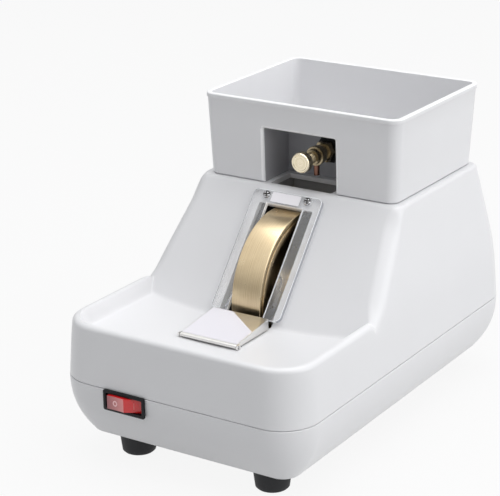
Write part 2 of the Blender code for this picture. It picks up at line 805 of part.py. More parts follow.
def build_tray(frame, looks):
    """The lower half of the casing, tucked in like a boat's hull."""
    tray = finish("base_tray", loft(tray_rings(0, 0, -TRAY_HEIGHT, TRAY_STEPS)), looks["shell"], frame)
    cut(tray, loft(tray_rings(WALL, OVERRUN, FLOOR_Z, TRAY_STEPS - 2)), "hollow")
    lip_out = WALL - LIP_THICKNESS
    lip = [rounded_rectangle(e - HALF_WIDTH, HALF_WIDTH - e, e, BODY_DEPTH - e, CORNER_RADIUS - e, 5)
           for e in (lip_out, WALL)]
    base = -WALL
    rings = [[(x, y, z) for x, y in outline]
             for outline, z in ((lip[1], base), (lip[0], base), (lip[0], LIP_HEIGHT), (lip[1], LIP_HEIGHT))]
    join(tray, loft(rings, loop=True), "lip")
    for i, (x, y) in enumerate(boss_places()):
        join(tray, rod(HOUSING_BOSS_RADIUS, FLOOR_Z - WALL / 2, -GAP, SMALL_STEPS), f"boss_{i}", (x, y, 0))
        head = HOUSING_SCREW_HEAD_RADIUS + GAP
        hole = revolve([(0, -TRAY_HEIGHT - OVERRUN), (head, -TRAY_HEIGHT - OVERRUN),
                        (head, CASE_SCREW_SEAT), (HOUSING_SCREW_RADIUS + GAP, CASE_SCREW_SEAT),
                        (HOUSING_SCREW_RADIUS + GAP, OVERRUN), (0, OVERRUN)], SMALL_STEPS, DRILL_TURN)
        cut(tray, hole, f"screw_{i}", (x, y, 0))
    for i, (x, y) in enumerate(feet_places()):
        hole = drill(FOOT_SCREW_RADIUS + GAP, -TRAY_HEIGHT - OVERRUN, FLOOR_Z + OVERRUN, SMALL_STEPS)
        cut(tray, hole, f"foot_{i}", (x, y, 0))
    span = (VENT_COUNT - 1) * VENT_PITCH
    for i in range(VENT_COUNT):
        x = MOTOR_MID_X - span / 2 + i * VENT_PITCH
        slot = prism(rounded_rectangle(x - VENT_WIDTH / 2, x + VENT_WIDTH / 2, WHEEL_Y - VENT_LENGTH / 2,
                                       WHEEL_Y + VENT_LENGTH / 2, VENT_WIDTH / 2, 2),
                     -TRAY_HEIGHT - OVERRUN, FLOOR_Z + OVERRUN)
        cut(tray, slot, f"vent_{i}")
    for i, (x, y) in enumerate(mount_feet()):
        post = rod(HOUSING_BOSS_RADIUS, FLOOR_Z - WALL / 2, MOUNT_Z - GAP, SMALL_STEPS)
        join(tray, post, f"post_{i}", (x, y, 0))
        hole = drill(HOUSING_SCREW_RADIUS + GAP, FLOOR_Z + OVERRUN, OVERRUN, SMALL_STEPS)
        cut(tray, hole, f"pilot_{i}", (x, y, 0))
    half = SWITCH_BODY_WIDTH / 2 + GAP
    low = SWITCH_Z - SWITCH_BODY_HEIGHT / 2 - GAP
    notch = box(SWITCH_X - half, SWITCH_X + half, -OVERRUN, WALL + OVERRUN, low, LIP_HEIGHT + OVERRUN)
    cut(tray, notch, "switch")
    deep = SPOUT_FACE_Y - SPOUT_PAD_Y
    join(tray, turned(rod(SPOUT_PAD_RADIUS, -deep, 0), "Y"), "spout_pad", (WHEEL_X, SPOUT_FACE_Y, SPOUT_Z))
    hole = turned(drill(SPOUT_RADIUS + GAP, -deep - OVERRUN, OVERRUN), "Y")
    cut(tray, hole, "spout_hole", (WHEEL_X, SPOUT_FACE_Y, SPOUT_Z))


def build_housing(frame, panel, looks):
    """The moulded top half: dished deck inside a rim, sloping panel and the tank's seat."""
    outer_steps = {"side": (3, 6, 5, 3, 2), "arc": 6, "end": 6, "edge": 3, "rim": 3}
    inner_steps = {"side": (2, 3, 3, 2, 2), "arc": 4, "end": 4, "edge": 2, "rim": 1}
    outer = Skin(0, outer_steps, OUTER_WALL_SHARES)
    inner = Skin(WALL, inner_steps, INNER_WALL_SHARES)
    housing = finish("upper_housing", outer.solid(GAP), looks["shell"], frame)
    cut(housing, inner.solid(-OVERRUN), "hollow")
    edge = WALL - LIP_THICKNESS - GAP
    outline = rounded_rectangle(edge - HALF_WIDTH, HALF_WIDTH - edge, edge, BODY_DEPTH - edge,
                                CORNER_RADIUS - edge, 5)
    cut(housing, prism(outline, -OVERRUN, LIP_HEIGHT + GAP), "rebate")
    window = box(WHEEL_X - WINDOW_HALF_WIDTH, WHEEL_X + WINDOW_HALF_WIDTH,
                 -PANEL_LENGTH, -WINDOW_TOP, -WALL - OVERRUN, OVERRUN)
    cut(housing, window, "window", parent=panel)
    slot = box(WHEEL_X - DECK_SLOT_HALF_WIDTH, WHEEL_X + DECK_SLOT_HALF_WIDTH,
               DECK_SLOT_FRONT, deck_end(0) + OVERRUN, DECK_UNDER_Z - OVERRUN, DECK_HEIGHT + OVERRUN)
    cut(housing, slot, "deck_slot")
    front = TANK_FRONT_Y + CHUTE_LIP
    chute = box(-CHUTE_HALF_WIDTH, CHUTE_HALF_WIDTH, front, front + CHUTE_DEPTH,
                TOP_UNDER_Z - OVERRUN, TOP_HEIGHT + OVERRUN)
    cut(housing, chute, "chute")
    for i, (x, y) in enumerate(boss_places()):
        top = deck_height(x) - WALL / 2 if y < WHEEL_Y else REAR_BOSS_HEIGHT
        join(housing, rod(HOUSING_BOSS_RADIUS, GAP, top, SMALL_STEPS), f"boss_{i}", (x, y, 0))
        if y > WHEEL_Y:
            reach = HOUSING_BOSS_IN - WALL / 2 - side_inset(top)
            ends = sorted((0, math.copysign(reach, x)))
            web = WALL / 3
            low = LIP_HEIGHT * 2
            join(housing, box(*ends, -web, web, low, top - web), f"web_{i}", (x, y, 0))
            join(housing, box(-web, web, 0, reach, low, top - web / 2), f"back_web_{i}", (x, y, 0))
        hole = drill(HOUSING_SCREW_RADIUS + GAP, -OVERRUN, top - WALL, SMALL_STEPS)
        cut(housing, hole, f"pilot_{i}", (x, y, 0))
    for i, (x, y) in enumerate(tank_peg_places()):
        hole = drill(TANK_PEG_RADIUS + GAP, TOP_UNDER_Z - OVERRUN, TOP_HEIGHT + OVERRUN, SMALL_STEPS)
        cut(housing, hole, f"tank_{i}", (x, y, 0))
    half_x = INLET_PLATE_WIDTH / 2 + GAP
    half_z = INLET_PLATE_HEIGHT / 2 + GAP
    pad = box(INLET_X - half_x, INLET_X + half_x, BODY_DEPTH - WALL * 1.5, BODY_DEPTH,
              INLET_Z - half_z, INLET_Z + half_z)
    join(housing, pad, "inlet_pad")
    for i, side in enumerate((-1, 1)):
        place = (WHEEL_X + side * GUARD_SCREW_X, -GUARD_TOP - GUARD_SCREW_INSET, 0)
        hole = drill(GUARD_SCREW_RADIUS + GAP, -WALL - OVERRUN, OVERRUN, SMALL_STEPS)
        cut(housing, hole, f"guard_{i}", place, panel)
        hole = drill(HINGE_STUD_RADIUS + GAP, DECK_UNDER_Z - OVERRUN, DECK_HEIGHT + OVERRUN, SMALL_STEPS)
        cut(housing, hole, f"hinge_{i}", (WHEEL_X + side * HINGE_STUD_X, HINGE_STUD_Y, 0))
        place = (INLET_X + side * INLET_SCREW_X, BODY_DEPTH, INLET_Z)
        hole = turned(drill(INLET_SCREW_RADIUS + GAP, -WALL * 2, OVERRUN, SMALL_STEPS), "Y")
        cut(housing, hole, f"inlet_{i}", place)
    half_x = INLET_BODY_WIDTH / 2 + GAP
    half_z = INLET_BODY_HEIGHT / 2 + GAP
    hole = box(INLET_X - half_x, INLET_X + half_x, BODY_DEPTH - WALL * 3, BODY_DEPTH + OVERRUN,
               INLET_Z - half_z, INLET_Z + half_z)
    cut(housing, hole, "inlet")
    return housing


def tank_ring(z, inset, share):
    """A ring of the tank at a height; share is how far up the wall it is."""
    flare = TANK_FLARE * share - inset
    outline = rounded_rectangle(-TANK_HALF_WIDTH - flare, TANK_HALF_WIDTH + flare, TANK_FRONT_Y - flare,
                                TANK_BACK_Y + flare + TANK_FLARE * share, TANK_CORNER - inset, 4)
    return [(x, y, z) for x, y in outline]


def build_tank(frame, looks):
    """The open water tank, with a bay in its front for the drip valve."""
    top = TANK_Z + TANK_HEIGHT
    under_rim = top - TANK_RIM_HEIGHT
    edge = TANK_RIM_PROUD
    rings = [tank_ring(TANK_Z, 0, 0), tank_ring(under_rim, 0, 1), tank_ring(under_rim, -edge, 1),
             tank_ring(top - edge, -edge, 1), tank_ring(top, 0, 1), tank_ring(top, TANK_WALL - edge, 1),
             tank_ring(top - edge, TANK_WALL, 1), tank_ring(TANK_Z + TANK_FLOOR, TANK_WALL, 0)]
    tank = finish("water_tank", loft(rings), looks["shell"], frame)
    wall = TANK_WALL
    block = box(-BAY_HALF_WIDTH - wall, BAY_HALF_WIDTH + wall, TANK_FRONT_Y + GAP, BAY_BACK_Y + wall,
                TANK_Z + GAP, TANK_Z + BAY_HEIGHT + wall)
    join(tank, block, "bay_walls")
    bay = box(-BAY_HALF_WIDTH, BAY_HALF_WIDTH, TANK_FRONT_Y - TANK_FLARE - OVERRUN, BAY_BACK_Y,
              TANK_Z - OVERRUN, TANK_Z + BAY_HEIGHT)
    cut(tank, bay, "bay")
    hole = turned(drill(VALVE_SHANK_RADIUS + GAP, -OVERRUN, wall + OVERRUN, ROUND_STEPS), "Y")
    cut(tank, hole, "valve_hole", (VALVE_X, BAY_BACK_Y, VALVE_Z))
    for i, (x, y) in enumerate(tank_peg_places()):
        peg = rod(TANK_PEG_RADIUS, TOP_UNDER_Z - TANK_PEG_RADIUS, TANK_Z + TANK_FLOOR / 2, SMALL_STEPS)
        join(tank, peg, f"peg_{i}", (x, y, 0))
    return tank


def build_guard(panel, looks):
    """The clear guard plate, slotted up from its lower end, and the two screws at its head."""
    lift = GAP
    outline = rounded_rectangle(WHEEL_X - GUARD_HALF_WIDTH, WHEEL_X + GUARD_HALF_WIDTH,
                                -GUARD_TOP - GUARD_LENGTH, -GUARD_TOP, GUARD_CORNER, 4)
    guard = finish("splash_guard", prism(outline, lift, lift + GUARD_THICKNESS), looks["clear"], panel)
    slot = box(WHEEL_X - GUARD_SLOT_HALF_WIDTH, WHEEL_X + GUARD_SLOT_HALF_WIDTH,
               -GUARD_TOP - GUARD_LENGTH - OVERRUN, -GUARD_SLOT_TOP, -OVERRUN, GUARD_THICKNESS + OVERRUN)
    cut(guard, slot, "slot")
    for name, side in (("left", -1), ("right", 1)):
        x = WHEEL_X + side * GUARD_SCREW_X
        y = -GUARD_TOP - GUARD_SCREW_INSET
        hole = drill(GUARD_SCREW_RADIUS + GAP, -OVERRUN, GUARD_THICKNESS + OVERRUN, SMALL_STEPS)
        cut(guard, hole, f"hole_{name}", (x, y, 0))
        length = GUARD_THICKNESS + WALL
        screw = pan_screw(GUARD_SCREW_RADIUS, GUARD_SCREW_HEAD_RADIUS, GUARD_SCREW_HEAD, length)
        finish(f"guard_screw_{name}", screw, looks["screw"], panel, (x, y, lift + GUARD_THICKNESS + GAP))


def rest_sheet():
    """The rest's sheet: a ramp rolled at its front, with a flange down each side."""
    long = REST_BACK_Y - REST_FRONT_Y
    rise = REST_BACK_HEIGHT - REST_PIN_Z
    foot = REST_FLOOR_Z + REST_FLOOR_GAP - REST_PIN_Z
    start = REST_KNUCKLE_RADIUS * 2
    slope = (rise - REST_KNUCKLE_RADIUS) / long
    under = REST_KNUCKLE_RADIUS + slope * start - REST_SHEET
    roll = []
    steps = SMALL_STEPS
    for i in range(steps + 1):
        angle = math.radians(90 + 240 * i / steps)
        roll.append((REST_KNUCKLE_RADIUS * math.cos(angle), REST_KNUCKLE_RADIUS * math.sin(angle)))
    strip = [(long, rise)] + roll + [(start, under)]
    flange = [(start, foot), (long, foot)]
    back = [(long, rise - REST_SHEET)]
    bm = bmesh.new()
    outer = REST_HALF_WIDTH
    inner = REST_HALF_WIDTH - REST_SHEET

    def row(x, outline):
        return [bm.verts.new((x, y, z)) for y, z in outline]

    def skin(one, other):
        for i in range(len(one) - 1):
            bm.faces.new((one[i], one[i + 1], other[i + 1], other[i]))

    rows = [row(x, strip + flange + back) for x in (-outer, -inner, inner, outer)]
    count = len(strip)
    for one, other in ((rows[0], rows[1]), (rows[2], rows[3])):
        skin(one + one[:1], other + other[:1])
    for side in (rows[1], rows[2]):
        bm.faces.new(side[count - 1:])
    skin(rows[1][:count] + rows[1][-1:] + rows[1][:1], rows[2][:count] + rows[2][-1:] + rows[2][:1])
    bm.faces.new(rows[0])
    bm.faces.new(rows[3])
    return bm


def build_rest(frame, looks):
    """The stainless lens rest: a ramp with side flanges, rolled round a pin at its front."""
    pin_z = REST_PIN_Z
    hinge = make_empty("rest_hinge_axis", frame, (WHEEL_X, REST_FRONT_Y, pin_z))
    rest = finish("lens_rest", rest_sheet(), looks["steel"], hinge)
    reach = REST_HALF_WIDTH + OVERRUN
    bore = turned(drill(REST_PIN_RADIUS + GAP, -reach, reach, SMALL_STEPS), "X")
    cut(rest, bore, "bore")
    reach = REST_HALF_WIDTH + GAP + HINGE_EAR
    pin = turned(rod(REST_PIN_RADIUS, -reach, reach, SMALL_STEPS), "X")
    finish("rest_hinge_pin", pin, looks["screw"], frame, (WHEEL_X, REST_FRONT_Y, pin_z))
    floor = REST_FLOOR_Z + GAP
    half = REST_HALF_WIDTH - REST_SHEET - GAP * 2
    near = REST_KNUCKLE_RADIUS + GAP
    far = REST_KNUCKLE_RADIUS * 2 - GAP
    outline = [(-reach, near), (reach, near), (reach, far), (half, far), (half, HINGE_LEAF_DEPTH),
               (-half, HINGE_LEAF_DEPTH), (-half, far), (-reach, far)]
    low = floor - pin_z
    leaf = finish("rest_hinge_leaf", prism(outline, low, low + HINGE_LEAF_SHEET), looks["steel"], frame,
                  (WHEEL_X, REST_FRONT_Y, pin_z))
    inner = REST_HALF_WIDTH + GAP
    for i, side in enumerate((-1, 1)):
        x0, x1 = sorted((side * inner, side * (reach + GAP / 2)))
        ear = box(x0, x1, -REST_KNUCKLE_RADIUS, far - GAP / 2, low + GAP / 2, REST_KNUCKLE_RADIUS)
        join(leaf, ear, f"ear_{i}")
        top = floor + HINGE_LEAF_SHEET / 2
        stud = rod(HINGE_STUD_RADIUS, DECK_UNDER_Z - HINGE_STUD_RADIUS, top, SMALL_STEPS)
        join(leaf, stud, f"stud_{i}", (WHEEL_X + side * HINGE_STUD_X, HINGE_STUD_Y, 0))
    bore = turned(drill(REST_PIN_RADIUS + GAP, -reach - OVERRUN, reach + OVERRUN, SMALL_STEPS), "X")
    cut(leaf, bore, "bore")


def chamber_profile(extra, top, open_by):
    """Outline of the wheel chamber in the Y-Z plane; extra is the wall added outside."""
    radius = CHAMBER_RADIUS + extra
    front = CHAMBER_FRONT_Y + CHAMBER_WALL - extra
    low = DECK_UNDER_Z - GAP - CHAMBER_FRONT_DROP - extra
    back = HOPPER_BACK_Y + extra
    start = CHAMBER_FRONT_ANGLE
    end = 2 * math.pi + math.acos((back - WHEEL_Y) / radius)
    points = [(front, DECK_UNDER_Z - GAP + open_by), (front, low)]
    steps = 14
    for i in range(steps + 1):
        angle = start + (end - start) * i / steps
        points.append((WHEEL_Y + radius * math.cos(angle), WHEEL_Z + radius * math.sin(angle)))
    plane = (WALL + GAP - open_by) / PANEL_SIN
    points.append((back, top))
    points.append((PANEL_TOP_Y - (TOP_HEIGHT - top) / PANEL_TAN + plane, top))
    low_open = DECK_UNDER_Z - GAP + open_by
    points.append((PANEL_TOP_Y - (TOP_HEIGHT - low_open) / PANEL_TAN + plane, low_open))
    return points


def build_chamber(frame, looks):
    """The splash box round the wheel, with a hopper under the tank's bay and a drain."""
    top = TOP_UNDER_Z - GAP
    half = CHAMBER_OUTER_HALF
    body_top = top - HOPPER_DEPTH / 2
    profile = chamber_profile(CHAMBER_WALL, body_top, 0)
    body = loft([[(WHEEL_X + x, y, z) for y, z in profile] for x in (-half, half)])
    chamber = finish("wheel_chamber", body, looks["dark"], frame)
    hopper_front = TANK_FRONT_Y + WALL
    hopper_half = HOPPER_HALF_WIDTH + CHAMBER_WALL
    hopper_back = HOPPER_BACK_Y + CHAMBER_WALL
    hopper = box(-hopper_half, hopper_half, hopper_front, hopper_back + GAP, top - HOPPER_DEPTH, top)
    join(chamber, hopper, "hopper")
    for i, side in enumerate((-1, 1)):
        y = WHEEL_Y + side * CHAMBER_LEG_REACH
        into = WHEEL_Z - math.sqrt((CHAMBER_RADIUS + CHAMBER_WALL / 2) ** 2 - CHAMBER_LEG_REACH ** 2)
        leg = box(WHEEL_X - half + CHAMBER_WALL, WHEEL_X + half - CHAMBER_WALL, y - CHAMBER_WALL / 2,
                  y + CHAMBER_WALL / 2, FLOOR_Z + GAP, into)
        join(chamber, leg, f"leg_{i}")
    nipple = turned(rod(DRAIN_RADIUS, 0, DRAIN_LENGTH, SMALL_STEPS), "Y")
    join(chamber, nipple, "drain", (WHEEL_X, WHEEL_Y, DRAIN_Z))
    inner = chamber_profile(0, top + OVERRUN, OVERRUN)
    half = CHAMBER_HALF_WIDTH
    cut(chamber, loft([[(WHEEL_X + x, y, z) for y, z in inner] for x in (-half, half)]), "hollow")
    hollow = box(-HOPPER_HALF_WIDTH, HOPPER_HALF_WIDTH, hopper_front + CHAMBER_WALL, HOPPER_BACK_Y + GAP,
                 top - HOPPER_DEPTH + CHAMBER_WALL, top + OVERRUN * 2)
    cut(chamber, hollow, "hopper_hollow")
    hole = drill(SHAFT_COLLAR_RADIUS + SEAL_WIDTH, CHAMBER_HALF_WIDTH - OVERRUN, CHAMBER_OUTER_HALF + OVERRUN)
    hole = turned(hole, "X")
    cut(chamber, hole, "shaft_hole", (WHEEL_X, WHEEL_Y, WHEEL_Z))
    bore = turned(drill(DRAIN_BORE, DRAIN_RADIUS, DRAIN_LENGTH + OVERRUN, SMALL_STEPS), "Y")
    cut(chamber, bore, "drain_bore", (WHEEL_X, WHEEL_Y, DRAIN_Z))


def build_wheel(frame, looks):
    """Everything that turns: shaft, rotor, flanges, core, diamond band and nut."""
    spin = make_empty("wheel_axis", frame, (WHEEL_X, WHEEL_Y, WHEEL_Z))
    half = WHEEL_WIDTH / 2
    rim = WHEEL_RADIUS - WHEEL_LINING
    chamfer = WHEEL_LINING / 6
    band = revolve([(rim, -half), (WHEEL_RADIUS - chamfer, -half), (WHEEL_RADIUS, -half + chamfer),
                    (WHEEL_RADIUS, half - chamfer), (WHEEL_RADIUS - chamfer, half), (rim, half)], WHEEL_STEPS)
    finish("grinding_band", turned(band, "X"), looks["bronze"], spin)
    rim -= GAP
    inner = rim - WHEEL_BAND
    web = WHEEL_WEB / 2
    hub = WHEEL_HUB_WIDTH / 2
    bore = SHAFT_RADIUS + GAP
    core = revolve([(bore, -hub), (WHEEL_HUB_RADIUS, -hub), (WHEEL_HUB_RADIUS, -web), (inner, -web),
                    (inner, -half), (rim, -half), (rim, half), (inner, half), (inner, web),
                    (WHEEL_HUB_RADIUS, web), (WHEEL_HUB_RADIUS, hub), (bore, hub)], WHEEL_STEPS)
    finish("wheel_core", turned(core, "X"), looks["bronze"], spin)
    lip = FLANGE_THICKNESS * 0.3
    for name, side in (("wheel_flange_inner", 1), ("wheel_flange_outer", -1)):
        near = hub + GAP
        far = near + FLANGE_THICKNESS
        flange = revolve([(bore, near), (FLANGE_RADIUS, near), (FLANGE_RADIUS, far - lip),
                          (FLANGE_RADIUS - lip, far), (bore, far)], ROUND_STEPS)
        finish(name, turned(flange, "X" if side > 0 else "-X"), looks["steel"], spin)
    near = hub + GAP * 2 + FLANGE_THICKNESS
    finish("wheel_nut", turned(nut(WHEEL_NUT_WIDTH, SHAFT_RADIUS + GAP, near, near + WHEEL_NUT_HEIGHT), "-X"),
           looks["screw"], spin)
    end = near + WHEEL_NUT_HEIGHT + GAP * 4
    start = near
    shaft = revolve([(0, -end), (SHAFT_RADIUS, -end), (SHAFT_RADIUS, start), (SHAFT_COLLAR_RADIUS, start),
                     (SHAFT_COLLAR_RADIUS, FRONT_BEARING_X - GAP), (SHAFT_RADIUS, FRONT_BEARING_X - GAP),
                     (SHAFT_RADIUS, SHAFT_END), (0, SHAFT_END)], ROUND_STEPS)
    finish("motor_shaft", turned(shaft, "X"), looks["steel"], spin)
    middle = MOTOR_START + SHIELD_THICKNESS + MOTOR_LENGTH / 2
    rotor = sleeve(ROTOR_RADIUS, SHAFT_RADIUS + GAP, middle - ROTOR_LENGTH / 2, middle + ROTOR_LENGTH / 2)
    finish("rotor_core", turned(rotor, "X"), looks["motor"], spin)


def build_motor(frame, looks):
    """The motor: its footed front casting, stator, rear shield, bearings and screws."""
    at = (WHEEL_X, WHEEL_Y, WHEEL_Z)
    start = MOTOR_START
    seat = BEARING_RADIUS + GAP
    boss = seat + BEARING_SEAT_WALL
    through = SHAFT_COLLAR_RADIUS + GAP * 2
    shield = SHIELD_THICKNESS
    half = MOTOR_RADIUS
    low = MOUNT_Z - WHEEL_Z
    steps = ROUND_STEPS // 2
    arch = [(-half, low), (half, low)]
    turns = [math.pi * i / steps for i in range(steps + 1)]
    arch += [(half * math.cos(turn), half * math.sin(turn)) for turn in turns]
    plate = loft([[(x, y, z) for y, z in arch] for x in (start, start + shield)])
    mount = finish("motor_mount", plate, looks["aluminium"], frame, at)
    join(mount, box(start, start + MOUNT_FOOT, -half, half, low, low + MOUNT_SHEET), "foot", at)
    join(mount, turned(rod(boss, start + shield / 2, start + shield + BEARING_WIDTH), "X"), "boss", at)
    cut(mount, turned(drill(seat, start + shield, start + shield + BEARING_WIDTH + OVERRUN), "X"), "seat", at)
    cut(mount, turned(drill(through, start - OVERRUN, start + shield + OVERRUN), "X"), "bore", at)
    for name, (x, y) in zip(CORNER_NAMES, mount_feet()):
        top = MOUNT_Z + MOUNT_SHEET
        hole = drill(HOUSING_SCREW_RADIUS + GAP, MOUNT_Z - OVERRUN, top + OVERRUN, SMALL_STEPS)
        cut(mount, hole, f"hole_{name}", (x, y, 0))
        screw = pan_screw(HOUSING_SCREW_RADIUS, HOUSING_SCREW_HEAD_RADIUS, HOUSING_SCREW_HEAD,
                          MOUNT_SHEET + MOUNT_CLEARANCE / 2)
        finish(f"mount_screw_{name}", screw, looks["screw"], frame, (x, y, MOUNT_Z + MOUNT_SHEET + GAP))
    body_start = start + shield + GAP
    body_end = body_start + MOTOR_LENGTH
    core_radius = ROTOR_RADIUS + GAP * 2
    inset = BEARING_WIDTH + GAP * 2
    wide = boss + GAP * 2
    body = revolve([(wide, body_start), (MOTOR_RADIUS, body_start), (MOTOR_RADIUS, body_end),
                    (wide, body_end), (wide, body_end - inset), (core_radius + GAP, body_end - inset),
                    (core_radius + GAP, body_start + inset), (wide, body_start + inset)], ROUND_STEPS)
    finish("motor_body", turned(body, "X"), looks["motor"], frame, at)
    end = body_end + GAP
    cap = end + shield + BEARING_SEAT_WALL
    rear = revolve([(0, cap), (0, end + shield), (seat, end + shield), (seat, end - BEARING_WIDTH),
                    (boss, end - BEARING_WIDTH), (boss, end), (MOTOR_RADIUS, end),
                    (MOTOR_RADIUS, end + shield), (boss, end + shield), (boss, cap)], ROUND_STEPS)
    finish("motor_shield_rear", turned(rear, "X"), looks["aluminium"], frame, at)
    for name, x in (("bearing_front", FRONT_BEARING_X), ("bearing_rear", end - BEARING_WIDTH + shield - GAP)):
        ring = sleeve(BEARING_RADIUS, SHAFT_RADIUS + GAP, x, x + BEARING_WIDTH)
        finish(name, turned(ring, "X"), looks["steel"], frame, at)
    seal_x = CHAMBER_HALF_WIDTH
    outer = SHAFT_COLLAR_RADIUS + SEAL_WIDTH - GAP
    seal = sleeve(outer, SHAFT_COLLAR_RADIUS + GAP, seal_x, seal_x + CHAMBER_WALL)
    finish("shaft_seal", turned(seal, "X"), looks["rubber"], frame, at)


def mount_feet():
    """Middle of each screw that holds the motor's foot on the tray."""
    near_x = WHEEL_X + MOTOR_START + SHIELD_THICKNESS + HOUSING_BOSS_RADIUS
    far_x = WHEEL_X + MOTOR_START + MOUNT_FOOT - HOUSING_BOSS_RADIUS
    y = MOTOR_RADIUS - HOUSING_BOSS_RADIUS
    return [(near_x, WHEEL_Y - y), (far_x, WHEEL_Y - y), (near_x, WHEEL_Y + y), (far_x, WHEEL_Y + y)]


def build_electrics(frame, looks):
    """The motor's run capacitor in its clip, on the tray's floor."""
    centre_z = FLOOR_Z + GAP * 2 + CLIP_SHEET + CAPACITOR_RADIUS
    at = (-CAPACITOR_X, CAPACITOR_Y, centre_z)
    cap = CAPACITOR_RADIUS
    small = cap * 0.12
    profile = [(0, 0), (cap - small, 0), (cap, small), (cap, CAPACITOR_LENGTH - small),
               (cap - small, CAPACITOR_LENGTH), (0, CAPACITOR_LENGTH)]
    finish("run_capacitor", turned(revolve(profile), "Y"), looks["film"], frame, at)
    inner = cap + GAP
    outer = inner + CLIP_SHEET
    middle = CAPACITOR_LENGTH / 2
    ring = turned(sleeve(outer, inner, middle - CLIP_WIDTH / 2, middle + CLIP_WIDTH / 2), "Y")
    clip = finish("capacitor_clip", ring, looks["screw"], frame, at)
    base = FLOOR_Z + GAP - centre_z
    tab = box(-outer / 2, outer + CLIP_TAB, middle - CLIP_WIDTH / 2 + GAP, middle + CLIP_WIDTH / 2 - GAP,
              base, base + CLIP_SHEET)
    join(clip, tab, "tab")
    cut(clip, turned(drill(inner, middle - CLIP_WIDTH, middle + CLIP_WIDTH), "Y"), "grip", at)


def build_switch(frame, looks):
    """The narrow rocker switch in the tray's front wall."""
    half = SWITCH_WIDTH / 2
    tall = SWITCH_HEIGHT / 2
    outline = rounded_rectangle(-half, half, -tall, tall, SWITCH_CORNER, 3)
    bezel = turned(prism(outline, GAP, SWITCH_FRAME), "-Y")
    switch = finish("switch_body", bezel, looks["nylon"], frame, (SWITCH_X, 0, SWITCH_Z))
    half_x = SWITCH_BODY_WIDTH / 2
    half_z = SWITCH_BODY_HEIGHT / 2
    at = (SWITCH_X, 0, SWITCH_Z)
    join(switch, box(-half_x, half_x, -SWITCH_FRAME / 2, SWITCH_BODY_DEPTH, -half_z, half_z), "case", at)
    half_x = half - SWITCH_BORDER
    half_z = tall - SWITCH_BORDER
    cut(switch, box(-half_x, half_x, -SWITCH_FRAME - OVERRUN, ROCKER_WELL, -half_z, half_z), "well", at)
    axis = make_empty("rocker_axis", frame, (SWITCH_X, ROCKER_PIVOT_DEPTH, SWITCH_Z))
    points = rocker_outline()
    rocker_half = half_z - GAP
    rocker = loft([[(x, y, z) for x, y in points] for z in (-rocker_half, rocker_half)])
    finish("switch_rocker", rocker, looks["red"], axis)
    for i in (-1, 0, 1):
        x = i * TERMINAL_PITCH
        blade = box(x - TERMINAL_SHEET / 2, x + TERMINAL_SHEET / 2, SWITCH_BODY_DEPTH - WALL,
                    SWITCH_BODY_DEPTH + TERMINAL_LENGTH, -TERMINAL_WIDTH / 2, TERMINAL_WIDTH / 2)
        join(switch, blade, f"terminal_{i + 1}", at)


def rocker_outline():
    """The rocker seen along its axis, tilted so that its right half is pressed in."""
    reach = SWITCH_WIDTH / 2 - SWITCH_BORDER - GAP * 4
    face = -ROCKER_PIVOT_DEPTH - SWITCH_FRAME
    rise = reach * math.tan(ROCKER_TILT)
    skirt = reach * ROCKER_SKIRT_SHARE
    foot = ROCKER_PIVOT_DEPTH / 3
    tip = face - ROCKER_PROUD
    outline = [(-reach, tip + rise), (0, tip), (reach, tip + rise),
               (skirt, face + rise), (foot, foot), (-foot, foot), (-skirt, face + rise)]
    turn = Matrix.Rotation(ROCKER_TILT, 2)
    return [tuple(turn @ Vector(point)) for point in outline]


